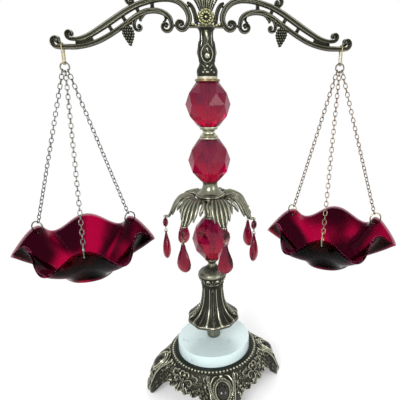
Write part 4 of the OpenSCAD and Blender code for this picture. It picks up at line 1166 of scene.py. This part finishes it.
RUNGS = [[95.4, -1.6, 0.53, 0.85], [81.5, 7.4, 0.53, 0.85], [67.6, 15.6, 0.42, 0.9], [53, 20.4, 0, 1]]
RUNG_SECTION = ((-5.4, 3.1), (-2.4, 2.2), (0, 1.9), (2.4, 2.2), (5.4, 3.1))
EYES = np.array([[148.9, -14.2, 1.7, 4.4], [135.2, -7.8, 1.5, 4.2], [40.3, 1.2, 1.9, 4.4],
                 [25.1, 2.9, 1.9, 4.6], [74, 24.6, 1.8, 3.9], [67.6, 0.3, 1.7, 3.7],
                 [33.2, 1.8, 1.9, 3.2], *[[x, z, 1.3, 3.6] for x, z, _, _ in RUNGS]])
GRAPE_CORE = [[79.4, 3, 1.6], [78.9, -2, 4.2], [78.5, -7, 5.2], [77.8, -12, 3.8], [77, -17, 1.2]]
GRAPE_ROWS = ((3.4, 4), (4.4, 5), (4.6, 5), (3.9, 4), (2.7, 3), (1.3, 2), (0.1, 1))
TIPS = (
    [[59, 13.8, 1.5], [63, 11.4, 2.3], [65.4, 8.2, 2.2], [65.2, 5.2, 1.0]],
    [[41.4, 11, 1.2], [40.4, 8, 1.4], [41.8, 5.6, 0.9], [43.4, 5, 0.5]],
    [[84, 0.2, 1], [80.6, 2.6, 1.4], [77.4, 3.4, 1.5], [74.6, 2.2, 0.8]],
)
VEINS = (
    [[86, -1.4, 0.4], [80, 1.6, 0.5], [74.4, 7.4, 0.6], [66, 12.2, 0.6], [58, 14.6, 0.4]],
    [[57, 15.4, 0.4], [49, 15.2, 0.6], [42.4, 12.8, 0.6], [38, 8.4, 0.4]],
    [[60, 22.6, 0.4], [48, 25.4, 0.6], [36, 26, 0.6], [26.4, 23, 0.6], [20.6, 17.6, 0.5]],
)
HALF_ACROSS = np.array([0, 0.2, 0.33, 0.45, 0.55, 0.65, 0.75, 0.88, 0.97, 1])
RAIL_ACROSS = np.concatenate([-HALF_ACROSS[:0:-1], HALF_ACROSS])
RAIL_CREST = bump(np.abs(RAIL_ACROSS), 0.55, 0.19)


def rail(shape, stroke, depth, steps=6, groove_at=None, crest=1.0):
    """Moulded bar along a stroke [x, z, half width] of the beam, with two ridges on front and back.

    The section's half depth is the root of 1 less the share across to the sixth power, less a shallow
    groove along its middle, and the two ridges stand on it. Where the hook hangs, points further from
    the rail's middle than the hook's seat are brought in to it.
    """
    q = smooth(stroke, steps)
    d = np.gradient(q[:, :2], axis=0)
    side = unit(np.stack([-d[:, 1], d[:, 0]], 1)) * q[:, 2:3]
    relief = min(sizes().ridge / MM, depth * 0.2)
    body = np.sqrt(1 - np.abs(RAIL_ACROSS) ** 6) * (depth / 2 - relief)
    front = body + RAIL_CREST * relief - 0.3 * relief * bump(RAIL_ACROSS, 0, 0.2)
    # Painted highlight: besides their rubbing, the crests of the two ridges carry bright lines, weighted by
    # crest.
    shade = 0.1 + 0.1 * np.abs(RAIL_ACROSS) ** 4 + crest * RAIL_CREST
    across = np.concatenate([RAIL_ACROSS, RAIL_ACROSS[-2:0:-1]])
    out = np.concatenate([-front, front[-2:0:-1]])
    x = q[:, :1] + side[:, :1] * across
    z = q[:, 1:2] + side[:, 1:2] * across
    y = out + 0 * x
    if groove_at is not None:
        off = np.abs(x - groove_at[0])
        away = np.hypot(y, z - groove_at[1])
        limit = 2.6 + 4 * fade(off, 1.2, 1.7)
        pull = np.where(off < 2.0, np.minimum(1, limit / np.maximum(away, 1e-6)), 1)
        y = y * pull
        z = groove_at[1] + (z - groove_at[1]) * pull
    shape.tube(np.stack([x, y, z], -1), np.concatenate([shade, shade[-2:0:-1]]))


def beam_front(u, v):
    """Flat front of the beam: u along X and v down from the cross bar."""
    return np.stack([u, 0 * u, -v], -1)


def berries():
    """Middles of the grapes: rows that bow out at their middle, in front and the same behind."""
    rows = []
    for row, (wide, many) in enumerate(GRAPE_ROWS):
        k = np.linspace(-1, 1, many) if many > 1 else np.zeros(1)
        y = -2.5 * np.sqrt(np.clip(1 - (k * wide / 6) ** 2, 0.1, 1))
        rows.append(np.stack([78.9 - row * 0.3 + k * wide, y, np.full(many, -1.2 - row * 2.55)], 1))
    front = np.vstack(rows)
    return np.vstack([front, front * [1, -1, 1]])


class SCALE_OT_beam(bpy.types.Operator):
    """Scrolled beam: moulded rails, crest scrolls, rungs, grapes and leaf tips, the same on both sides"""

    bl_idname = "scale.beam"
    bl_label = "Beam"

    def execute(self, context):
        half = Shape()
        rail(half, LOWER_RAIL, 8.0, steps=10, groove_at=(HANG_X, RAIL_Z - BAR_Z))
        for stroke, depth in ((UPPER_RAIL, 7.7), (CREST_SCROLL, 7.0), (SMALL_SCROLL, 6.6), (STRAP, 6.4)):
            rail(half, stroke, depth)
        rail(half, WEB, 5.6, crest=0.5)
        for x, z, dx, dz in RUNGS:
            bar = [[x + dx * along, z + dz * along, wide] for along, wide in RUNG_SECTION]
            rail(half, bar, 5.2, crest=0.4)
        balls(half, EYES[:, [0, 0, 1]] * [1, 0, 1], EYES[:, [2, 3, 2]], 0.5, rows=8, cols=14)
        core, phi = smooth(GRAPE_CORE, 4), circle(16)
        half.tube(np.stack([core[:, :1] + core[:, 2:] * np.cos(phi),
                            np.minimum(core[:, 2:], 2.6) * np.sin(phi), core[:, 1:2] + 0 * phi], -1), 0.05)
        grapes = berries()
        balls(half, grapes, 1.5, 0.3, rows=7, cols=10)
        # Painted highlights: a small bright ball on the front of each grape.
        painted_glints = grapes + np.sign(grapes) * [0, 1.25, 0] + [-0.25, 0, 0.45]
        balls(half, painted_glints, 0.62, 1.1, rows=4, cols=6)
        for tip in TIPS:
            rail(half, tip, 6.0)
        for face in (1, -1):
            for vein in VEINS:
                lined = Shape()
                ridge(lined, beam_front, np.array(vein) * [1, -1, 1], 3.9, sunk=-2.4)
                lined.points = [p * [1, face, 1] for p in lined.points]
                half.join(lined)
        half.mirrored(0)
        rail(half, [[-18, 1.4, 1.8], [0, 1.4, 1.8], [18, 1.4, 1.8]], 8.4)
        half.points = [p + [0, 0, BAR_Z] for p in half.points]
        tone = colours()
        finish = metal_finish("beam_brass", rgba(tone.patina_and_shade, 1.3), rgba(tone.brass, 0.85), 0.3, 0.25, 1.0)
        add_casting("beam_scrolls", half, finish, "beam_casting")
        return {"FINISHED"}


class SCALE_OT_rosette(bpy.types.Operator):
    """Rosette of two rows of petals on the cross bar, with a row of lobes below it"""

    bl_idname = "scale.rosette"
    bl_label = "Rosette"

    def execute(self, context):
        shape = Shape()
        share = np.concatenate([np.linspace(0.03, 1, 26), np.linspace(1, 0.03, 26)])[:, None]
        face = np.repeat([-1, 1], 26)[:, None]
        a = circle(180)
        outer, inner = np.abs(np.cos(6 * a)), np.abs(np.cos(6 * a + np.pi / 2))
        r = share * (8.9 - 0.9 * fade(share, 0.7, 1) * (1 - outer ** 0.7))
        near = bump(share, 0.48, 0.15) * (0.5 + 1.3 * inner ** 0.6)
        far = bump(share, 0.84, 0.1)
        heart = 1.3 * np.sqrt(np.clip(1 - (share / 0.2) ** 2, 0, 1))
        depth = 4.5 + heart + near + far * (0.3 + outer ** 0.6) - 2.6 * fade(share, 0.9, 1.0)
        wear = (0.26 + 0.825 * bump(share, 0.5, 0.12) * inner ** 0.9 + far * outer ** 0.9
                + 0.5 * (1 - fade(share, 0.08, 0.18)))
        shape.tube(np.stack([r * np.cos(a), face * depth, BAR_Z + 9.7 + r * np.sin(a)], -1),
                   np.clip(wear, 0, 1))
        across = np.linspace(-13.5, 13.5, 10)
        height = BAR_Z + 0.3 + 2.4 * np.abs(across / 13.5) ** 1.6
        for y in (-3.7, 3.7):
            balls(shape, np.stack([across, np.full(10, y), height], 1), 1.45, 0.55, rows=6, cols=9)
        add_casting("rosette", shape, gilded())
        return {"FINISHED"}


class SCALE_OT_palmette(bpy.types.Operator):
    """Fan of eight lobes above the rosette, with a socket for the finial"""

    bl_idname = "scale.palmette"
    bl_label = "Palmette"

    def execute(self, context):
        shape = Shape()
        half_fan, lobes, root = 23.0, 8, -6.7
        r_low, r_top = 16, 45 - root
        f = np.linspace(-1, 1, 141)[:, None]
        share = np.concatenate([np.linspace(0, 1, 24), np.linspace(1, 0, 24)])
        face = np.repeat([-1, 1], 24)
        rib = np.abs(np.sin(np.radians((f + 1) * 90 * lobes)))
        edge = r_top * (1 - 0.1 * f ** 2) - 2.2 + 2.2 * rib
        r = r_low + (edge - r_low) * share
        a = np.radians(90 + f * half_fan * (0.55 + 0.45 * share))
        thick = (2.2 + 1.5 * rib ** 0.7) * (1 - 0.75 * fade(share, 0.9, 1.0))
        thick = thick * (1 - 0.3 * fade(np.abs(f), 0.9, 1)) - 0.35 * bump(rib, 1, 0.06)
        shade = 0.1 + 1.05 * rib ** 1.3 * (0.55 + 0.45 * share) - 0.5 * bump(rib, 1, 0.03)
        rings = np.stack([r * np.cos(a), face * thick, BAR_Z + root + r * np.sin(a)], -1)
        shape.tube(rings, np.clip(shade, 0, 1))
        revolve(shape, BAR_Z + 38.5, [[0.3, 0], [4.2, 0], [4.6, 1], [4.6, 5.4], [4.2, 6.4], [4.5, 7.2],
                                      [4.3, 8], [0.3, 8]], 40)
        add_casting("palmette", shape, antique())
        return {"FINISHED"}


NECK_PROFILE = np.array([[BORE_R, 0], [10.1, 0], [10.6, 0.8], [10.9, 2.6], [11.1, 4.6], [10.8, 6.6],
                         [9.8, 8.8], [8.6, 11], [8.0, 13.6], [8.3, 16.4], [9.3, 19.4], [9.9, 22.6],
                         [9.8, 26.6], [8.8, 30.6], [7.6, 35], [7.0, 39], [7.1, 42.6], [7.7, 45],
                         [9.4, 47.2], [10, 48.6], [BORE_R, 48.6]])
neck_face = turned_face(NECK_PROFILE[1:-1], NECK_Z, NECK_H, 9.5)
NECK_DOMES = ((0, 20.8, 1.0, 1.5, 0.9), (0, 37.4, 1.6, 1.4, 1.1), (0, 43.4, 1.9, 1.2, 0.7),
              (-3.9, 43.6, 1.2, 1.0, 0.7), (3.6, 41.4, 1.1, 0.8, 0.7), (-2.2, 40.6, 1.0, 0.7, 0.7),
              (6.2, 43.8, 1.0, 1.1, 0.7))


class SCALE_OT_neck(bpy.types.Operator):
    """Neck under the cross bar: framed balls in front and behind, plain hoops beside, buds above"""

    bl_idname = "scale.neck"
    bl_label = "Neck"

    def execute(self, context):
        shape, motif, sides, bud = Shape(), Shape(), Shape(), Shape()
        revolve(shape, NECK_Z, NECK_PROFILE, 96,
                lambda a, z: 0.14 + 0.2 * bump(z, 4.4, 2.2) + 0.5 * fade(z, 46, 48))
        for side in (-1, 1):
            hoop = [[0.9 - side * 1.2, 15.4, 0.5], [side * 2.6, 18.2, 0.7], [side * 4.7, 21.8, 0.8],
                    [side * 5.6, 25.8, 0.85], [side * 5, 29.8, 0.85], [side * 3, 32.8, 0.85], [0, 34, 0.8]]
            ridge(motif, neck_face, hoop, 1.2, wear=(0.15, 1.15))
            for leaf in ([[side * 6.8, 35.8, 0.4], [side * 4.4, 37.2, 0.7], [side * 2.2, 39.6, 0.5]],
                         [[side * 6.6, 4, 0.5], [side * 6.9, 9, 0.8], [side * 5.9, 14, 0.7],
                          [side * 6.4, 18.4, 0.4]]):
                ridge(motif, neck_face, leaf, 0.7)
        for line in ([[-0.9, 15.6, 0.4], [1.5, 12.6, 0.6], [1.7, 9.4, 0.6], [0.6, 6, 0.4]],
                     [[1.4, 19, 0.3], [0.6, 21.6, 0.6], [1.4, 23.8, 0.4]]):
            ridge(motif, neck_face, line, 0.9)
        dome(motif, neck_face, (0.3, 27.6), (3.1, 3.3), 1.9, rings=8, sides=20, wear=(0.3, 1.0))
        for u, v, wide, tall, height in NECK_DOMES:
            dome(motif, neck_face, (u, v), (wide, tall), height)
        for side in (-1, 1):
            hoop = [[0, 13, 0.5], [side * 2.4, 17, 0.7], [side * 4.2, 22, 0.7], [side * 3.6, 28, 0.7],
                    [0, 33, 0.6]]
            ridge(sides, neck_face, hoop, 0.5)
        dome(sides, neck_face, (0, 24), (2.2, 3.2), 0.5, sides=18)
        for u, lean in ((-0.5, 0.8), (0.5, 0.9), (1.4, 0.7)):
            ridge(bud, neck_face, [[u - 1.0, 2.6, 0.3], [u - 0.6, 5.4, lean], [u * 0.6 + 0.3, 9.2, lean],
                                   [0.9, 12.4, 0.3]], 1.5, wear=(0.35, 1.1))
        for part, turn in ((motif, 0), (sides, 90), (bud, 0)):
            part.repeated(2, turn)
            shape.join(part)
        add_casting("beam_neck", shape, antique())
        return {"FINISHED"}


FINIAL_PROFILE = [[0.3, -7], [1.5, -7], [1.5, 0], [4.4, 0], [4.5, 1], [3.9, 1.8], [2.8, 3.2], [2.9, 4.4],
                  [4.2, 6], [5.6, 8], [6.4, 10.4], [6.2, 13], [4.8, 15.4], [2.8, 16.8], [2.1, 17.8],
                  [2.9, 18.9], [3.3, 20.2], [2.9, 21.6], [2.1, 23], [1.4, 25], [0.5, 27]]


class SCALE_OT_finial(bpy.types.Operator):
    """Finial: a gadrooned bud with a small ball and a point"""

    bl_idname = "scale.finial"
    bl_label = "Finial"

    def execute(self, context):
        shape = Shape()

        def relief(a, z):
            return 0.45 * fade(z, 4.5, 8) * (1 - fade(z, 13.5, 16.5)) * (np.abs(np.sin(5 * a)) - 0.7)

        def shade(a, z):
            body = fade(z, 4.5, 7) * (1 - fade(z, 14.5, 16.5))
            return np.clip(0.55 - 0.45 * body + 0.9 * body * np.abs(np.sin(5 * a)) ** 1.5, 0, 1)

        revolve(shape, top("finial") - FINIAL_PROFILE[-1][1], FINIAL_PROFILE, 80, shade, relief)
        add_casting("finial_bud", shape, antique(), "finial")
        return {"FINISHED"}


BOWL_SHARES = np.array([[0, 0], [0.12, 0.04], [0.2, 0.14], [0.29, 0.27], [0.43, 0.42], [0.61, 0.58],
                        [0.81, 0.78], [1, 1]])
BOWL_SPANS = len(BOWL_SHARES) - 1
BOWL_Z, BOWL_H, BOWL_R, BOWL_FOOT = 161.5, 44.0, 69.6, 20.0
RUFFLE_Z, RUFFLE_R, RUFFLES, CREST_FLAT = 9.4, 6.2, 6, 0.12
HOLE_R, HOLE_IN = 1.95, 7.4
BOWLS = (("left", -1, 14.0), ("right", 1, -25.0))
LIP_ANGLES = (-60, -30, 0, 30, 60)
# Painted patches of light shining through each bowl: [angle in degrees, share up the wall, width in degrees,
# height, strength].
PAINTED_GLOWS = {
    "left": [[186, 0.75, 15, 0.5, 0.95], [208, 0.2, 30, 0.3, 0.5], [262, 0.32, 42, 0.24, 1.0],
             [150, 0.6, 8, 0.4, 0.6], [300, 0.95, 20, 0.2, 0.4], [0, 0.25, 16, 0.35, 0.5],
             [110, 0.5, 14, 0.3, 0.35], [235, 0.95, 9, 0.2, 0.4]],
    "right": [[180, 0.45, 21, 0.5, 1.05], [205, 0.85, 12, 0.3, 0.5], [248, 0.95, 18, 0.25, 0.45],
              [128, 0.75, 10, 0.2, 0.5], [78, 0.85, 16, 0.25, 0.35], [290, 0.9, 14, 0.25, 0.3]],
}


def bowl_middle(a, u, turn, wall):
    """Middle of the glass [radius, height] at an angle a in radians and a share u up the wall.

    The profile is a smooth curve. The rim rises and leans in with the cosine of six times the angle
    less 0.12 times the cosine of twelve times it, weighted with the share to the power 2.2.
    """
    knots = np.stack([BOWL_FOOT + (BOWL_R - BOWL_FOOT) * BOWL_SHARES[:, 0], BOWL_H * BOWL_SHARES[:, 1]], 1)
    p = on_curve(np.broadcast_to(knots, u.shape + knots.shape), u * BOWL_SPANS)
    b = RUFFLES * (a - math.radians(turn))
    s = (np.cos(b) - CREST_FLAT * np.cos(2 * b)) * u ** 2.2
    return np.stack([p[..., 0] - s * RUFFLE_R, p[..., 1] + s * RUFFLE_Z + wall / 2], -1)


def ring_holes(turn, x, wall):
    """Cutters for the three holes of a bowl: each a round bar along the wall's normal below the rim."""
    bars = Shape()
    for k in range(3):
        a = math.radians(turn + 120 * k)
        rim, lower = (bowl_middle(np.array([a]), np.array([float(u)]), turn, wall)[0]
                      for u in (1, 1 - 1 / BOWL_SPANS))
        along = unit(rim - lower)
        normal = np.array([along[1], -along[0]])
        middle = rim - along * HOLE_IN
        phi = circle(24)
        out = np.array([-2.5, 2.5])[:, None] * wall
        r = middle[0] + normal[0] * out + along[0] * HOLE_R * np.cos(phi)
        z = middle[1] + normal[1] * out + along[1] * HOLE_R * np.cos(phi)
        t = HOLE_R * np.sin(phi) + 0 * out
        sin, cos = math.sin(a), math.cos(a)
        bars.tube(np.stack([x + r * sin + t * cos, -r * cos + t * sin, BOWL_Z + z], -1))
    return bars


def bored(obj, bars):
    """Cuts the bars out of an object and keeps the result as its mesh."""
    whole, name = obj.data, obj.data.name
    cutter = new_object("bars", mesh_of(bars, "bars"))
    cut = obj.modifiers.new("holes", "BOOLEAN")
    cut.operation, cut.solver, cut.object = "DIFFERENCE", "EXACT", cutter
    result = obj.evaluated_get(bpy.context.evaluated_depsgraph_get())
    obj.data = bpy.data.meshes.new_from_object(result)
    obj.modifiers.clear()
    spare = cutter.data
    bpy.data.objects.remove(cutter)
    for mesh in (whole, spare):
        bpy.data.meshes.remove(mesh)
    obj.data.name = name


def bowl_rings(a, u, turn, wall):
    """Points [radius, height] of a bowl's glass: up its inside, over five of its lip, down its outside."""
    mid = bowl_middle(*np.broadcast_arrays(a, u), turn, wall)
    ahead, back = (bowl_middle(*np.broadcast_arrays(a, v), turn, wall)
                   for v in (np.minimum(u + 0.02, 1), np.maximum(u - 0.02, 0)))
    slope = unit(ahead - back)
    out = np.stack([slope[..., 1], -slope[..., 0]], -1)
    flat = 1 - fade(u, 0.0, 0.1)[..., None]
    out = unit(out * (1 - flat) + np.array([0.0, -1.0]) * flat) * wall / 2
    phi = np.radians(LIP_ANGLES)[:, None, None]
    lip = mid[-1] + slope[-1] * wall * 0.4 * np.cos(phi) + out[-1] * np.sin(phi)
    return np.concatenate([mid - out, lip, (mid + out)[::-1]])


class SCALE_OT_bowls(bpy.types.Operator):
    """Two ruffled glass bowls with a rounded rim, bands and painted glow in the glass, a painted highlight on
    the rim's edge, and a hole for each ring
    """

    bl_idname = "scale.bowls"
    bl_label = "Bowls"

    def execute(self, context):
        wall, glass = sizes().glass_wall / MM, pressed_glass()
        angle, u = circle(240)[None], np.linspace(0, 1, 32)[:, None]
        lip = np.ones((len(LIP_ANGLES), 1))
        height = np.concatenate([u, lip, u[::-1]])
        # Painted highlight: the rim's edge and lip are mixed to a pale tone.
        edge = fade(u, 0.985, 1.0) * 0.8
        rim = np.append(np.concatenate([edge, lip, edge[::-1]]) + 0 * angle, [0, 0])
        for side, sign, turn in BOWLS:
            r, z = np.moveaxis(bowl_rings(angle, u, turn, wall), -1, 0)
            x = sign * HANG_X
            shape = Shape()
            shape.tube(np.stack([x + r * np.sin(angle), -r * np.cos(angle), BOWL_Z + z], -1))
            # Bands that follow the ruffles, and painted glow where light shines through the glass.
            streak_and_glow = 0.12 + 0.1 * np.cos(RUFFLES * (angle - math.radians(turn)) + 1.9 * height)
            for at, level, wide, tall, strength in PAINTED_GLOWS[side]:
                off = (np.degrees(angle) - at + 540) % 360 - 180
                streak_and_glow = streak_and_glow + strength * np.exp(-(off / wide) ** 2 - ((height - level) / tall) ** 2)
            marks = {"streak_and_glow": np.append(streak_and_glow, [0.3, 0.3]), "rim": rim}
            piece = add_piece(side + "_bowl_glass", shape, glass, side + "_pan",
                              [side + "_bowl"], angle=60, marks=marks)
            bored(piece, ring_holes(turn, x, wall))
        return {"FINISHED"}


def cut_glass(shape, levels, sides, centre, turn):
    """Cut glass: rings of corners [half width, half thickness, depth], each half a step on."""
    levels = np.asarray(levels, float)
    j = np.arange(len(levels))[:, None]
    a = (np.arange(sides)[None] + j / 2) * TAU / sides
    local = np.stack([levels[:, 1:2] * np.cos(a), levels[:, :1] * np.sin(a),
                      np.broadcast_to(-levels[:, 2:], a.shape)], -1)
    m, n = a.shape
    points = turned_about(local, turn) + centre
    j, i = np.meshgrid(np.arange(m - 1), np.arange(n), indexing="ij")
    i1 = (i + 1) % n
    low = np.stack([j * n + i, j * n + i1, (j + 1) * n + i], -1).reshape(-1, 3)
    high = np.stack([j * n + i1, (j + 1) * n + i1, (j + 1) * n + i], -1).reshape(-1, 3)
    caps = [np.arange(n)[::-1][None], ((m - 1) * n + np.arange(n))[None]]
    shape.add(points.reshape(-1, 3), [low, high, *caps], 0.5)


LINK_R, LINK_STRAIGHT, WIRE_R = 1.5, 1.6, 0.35
LINK_TOP, DROP_EYE = 0.85, 2.1
LINK_LIFT = LINK_TOP - LINK_R - LINK_STRAIGHT / 2
DROP_LIFT = LINK_TOP - 2 * LINK_R - LINK_STRAIGHT + DROP_EYE
DROP_SHARES = np.array([[0.42, 0.46, 0.22], [0.66, 0.74, 0.38], [0.86, 0.94, 0.54], [1, 1, 0.7],
                        [0.95, 0.9, 0.82], [0.74, 0.66, 0.92], [0.42, 0.36, 0.98], [0.14, 0.12, 1]])
DROP_LEVELS = np.vstack([[[1.1, 0.7, 0], [2.4, 0.95, 1.4], [3.0, 1.25, 3.4]], DROP_SHARES * [9.0, 4.8, 34.0]])


def wire_ring(shape, centre, turn):
    """Closed loop of wire that stands across a leaf: two half circles joined by straight runs."""
    a, phi = circle(28)[:, None], circle(8)
    high = np.sign(np.sin(a) + 1e-9) * LINK_STRAIGHT / 2
    x = (LINK_R + WIRE_R * np.cos(phi)) * np.cos(a)
    z = (LINK_R + WIRE_R * np.cos(phi)) * np.sin(a) + high
    y = WIRE_R * np.sin(phi) + 0 * x
    shape.tube(turned_about(np.stack([x, y, z], -1), turn) + centre, closed=True)


class SCALE_OT_prisms(bpy.types.Operator):
    """Cut glass buttons and pear-shaped drops under the leaves, with the wire links of the drops"""

    bl_idname = "scale.prisms"
    bl_label = "Prisms"

    def execute(self, context):
        tip = pivot("drop_1_swing")[2] * MM
        glass = ruby("prism_glass", tip - 0.006, tip - 0.032, 0.56)
        button = ruby("button_glass", tip + 0.016, tip, 0.6)
        wire = smooth_metal("prism_wire", colours().wire, 0.3)
        for k in range(1, LEAVES + 1):
            turn = LEAF_TURN - 90 + (k - 1) * 360 / LEAVES
            hang = pivot("drop_%d_swing" % k)
            drop, link = Shape(), Shape()
            cut_glass(drop, DROP_LEVELS, 12, hang + [0, 0, DROP_LIFT], turn)
            add_piece("drop_glass_%d" % k, drop, glass, "drop_%d" % k,
                      ["prism_drop_%d" % k], angle=0)
            wire_ring(link, hang + [0, 0, LINK_LIFT], turn)
            add_piece("drop_link_%d" % k, link, wire, "drop_%d" % k)
            finish_node("prism_button_%d" % k, button)
            finish_node("prism_pin_%d" % k, wire)
        return {"FINISHED"}


class SCALE_OT_carried(bpy.types.Operator):
    """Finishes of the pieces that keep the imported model's own shape"""

    bl_idname = "scale.carried"
    bl_label = "Carried pieces"

    def execute(self, context):
        finish_node("marble_disc", marble_finish())
        # Near-black ring round the marble: partly a ring, and partly painted shade of the gap where the
        # marble sits in the base.
        finish_node("marble_gasket", dull("marble_ring_and_gap_shade", (0.01, 0.015, 0.011), 0.5, 0.15))
        for node in ("lower_bead", "middle_bead", "upper_bead"):
            low, high = seat(node) * MM, top(node) * MM
            third = (high - low) / 3
            finish_node(node, ruby(node + "_glass", high - third * 0.8, low + third * 0.4, 0.78))
        steel = smooth_metal("plated_steel", (0.36, 0.35, 0.32), 0.35)
        for node in ("base_washer", "base_nut"):
            finish_node(node, steel)
        finish_node("threaded_rod", dull("satin_rod", (0.8, 0.78, 0.76), 0.5, 0.5))
        finish_node("bead_ring", smooth_metal("turned_gold", (0.24, 0.17, 0.09), 0.3, 0.25))
        finish_node("thin_collar", smooth_metal("cream_brass", (0.5, 0.48, 0.36), 0.45, 0.2))
        grey = smooth_metal("chain_grey", (0.19, 0.187, 0.165), 0.3, 0.45, 300.0)
        copper = smooth_metal("chain_copper", (0.24, 0.185, 0.13), 0.3, 0.45, 300.0)
        gold = smooth_metal("hook_gold", (0.4, 0.34, 0.2), 0.28, 0.3)
        for side, chain in (("left", grey), ("right", copper)):
            for part in ("front_chain", "inner_chain", "outer_chain"):
                finish_node(side + "_" + part, chain)
            finish_node(side + "_rim_rings", grey if side == "left" else gold)
            finish_node(side + "_chain_ring", grey)
            finish_node(side + "_hook", gold)
        return {"FINISHED"}


def area_lamp(name, place, target, size, power):
    """Square lamp at a place that faces a target, both in metres."""
    lamp = bpy.data.lights.new(name, "AREA")
    lamp.size = size
    lamp.energy = power
    obj = new_object(name, lamp)
    obj.location = place
    obj.rotation_euler = (Vector(target) - Vector(place)).to_track_quat("-Z", "Y").to_euler()


def seen(tree):
    """1 for camera, glossy and transmitted rays and 0 for the rest."""
    path = add_node(tree, "ShaderNodeLightPath").outputs
    first = maths(tree, "MAXIMUM", path["Is Camera Ray"], path["Is Glossy Ray"])
    return maths(tree, "MAXIMUM", first, path["Is Transmission Ray"])


FLOOR_HALF = 1.2
AIM = (0, 0, 0.25)
LAMPS = (("key", (-0.55, -1.3, 1.0), 0.6, 17), ("fill", (1.2, -1.0, 0.75), 0.8, 8),
         ("back", (0.2, 1.1, 1.3), 0.8, 6))
CAMERA_PLACE, CAMERA_TILT, CAMERA_TURN = (-0.00797, -0.44219, 0.37895), 16.59, -6.05
LENS, SENSOR, SHIFT_X = 35.754, 36.0, -0.1097


class SCALE_OT_stage(bpy.types.Operator):
    """Pale floor that fades into a white background, soft lamps and the camera at the picture's angle"""

    bl_idname = "scale.stage"
    bl_label = "Stage"

    def execute(self, context):
        scene = context.scene
        scene.view_settings.view_transform = "Standard"
        corners = [(x * FLOOR_HALF, y * FLOOR_HALF, 0) for x, y in ((-1, -1), (1, -1), (1, 1), (-1, 1))]
        mesh = bpy.data.meshes.new("floor")
        mesh.from_pydata(corners, [], [(0, 1, 2, 3)])
        new_object("floor", mesh)
        material, tree, shader = new_material("floor_white")
        away = add_node(tree, "ShaderNodeVectorMath", {0: place_in(tree)}, operation="LENGTH")
        fill(tree, shader, {
            "Base Color": (0.88, 0.88, 0.88, 1), "Roughness": 0.9, "Specular IOR Level": 0.1,
            "Emission Color": WHITE, "Emission Strength": maths(tree, "MULTIPLY", seen(tree), 0.26),
            "Alpha": ranged(tree, away.outputs["Value"], 0.12, 0.52, 1.0, 0.0, ease=True)})
        mesh.materials.append(material)
        scene.world = bpy.data.worlds.new("studio")
        scene.world.use_nodes = True
        tree = scene.world.node_tree
        fill(tree, tree.nodes["Background"], {
            "Color": WHITE, "Strength": ranged(tree, seen(tree), first=0.55, last=1.0)})
        for name, place, size, power in LAMPS:
            area_lamp(name, place, AIM, size, power)
        camera = bpy.data.cameras.new("camera")
        camera.sensor_width, camera.lens, camera.shift_x, camera.clip_end = SENSOR, LENS, SHIFT_X, 50
        eye = new_object("camera", camera)
        eye.location = CAMERA_PLACE
        eye.rotation_euler = (math.radians(90 - CAMERA_TILT), 0, math.radians(CAMERA_TURN))
        scene.camera = eye
        return {"FINISHED"}


OPERATORS = (
    SCALE_OT_stage, SCALE_OT_base, SCALE_OT_filigree, SCALE_OT_medallions, SCALE_OT_pedestal, SCALE_OT_stem,
    SCALE_OT_knob, SCALE_OT_spools, SCALE_OT_leaves, SCALE_OT_beam, SCALE_OT_rosette, SCALE_OT_palmette,
    SCALE_OT_neck, SCALE_OT_finial, SCALE_OT_bowls, SCALE_OT_prisms, SCALE_OT_carried)


class SCALE_PT_panel(bpy.types.Panel):
    """Sidebar panel with the sizes, the colours and a button for each group of pieces"""

    bl_label = "Balance scale"
    bl_idname = "SCALE_PT_panel"
    bl_space_type = "VIEW_3D"
    bl_region_type = "UI"
    bl_category = "Scale"

    def draw(self, context):
        layout = self.layout
        for group in (context.scene.scale_sizes, context.scene.scale_colours):
            for name in group.__annotations__:
                layout.prop(group, name)
        for operator in OPERATORS:
            layout.operator(operator.bl_idname)


CLASSES = (ScaleSizes, ScaleColours, *OPERATORS, SCALE_PT_panel)


def register():
    """Registers the classes and hangs the settings on the scene."""
    for made in CLASSES:
        bpy.utils.register_class(made)
    bpy.types.Scene.scale_sizes = bpy.props.PointerProperty(type=ScaleSizes)
    bpy.types.Scene.scale_colours = bpy.props.PointerProperty(type=ScaleColours)


def unregister():
    """Takes the settings and the classes away again."""
    del bpy.types.Scene.scale_colours
    del bpy.types.Scene.scale_sizes
    for made in reversed(CLASSES):
        bpy.utils.unregister_class(made)


def main():
    """Makes every piece in order."""
    register()
    for operator in OPERATORS:
        group, name = operator.bl_idname.split(".")
        getattr(getattr(bpy.ops, group), name)()
    bpy.context.view_layer.update()


if __name__ == "__main__":
    main()
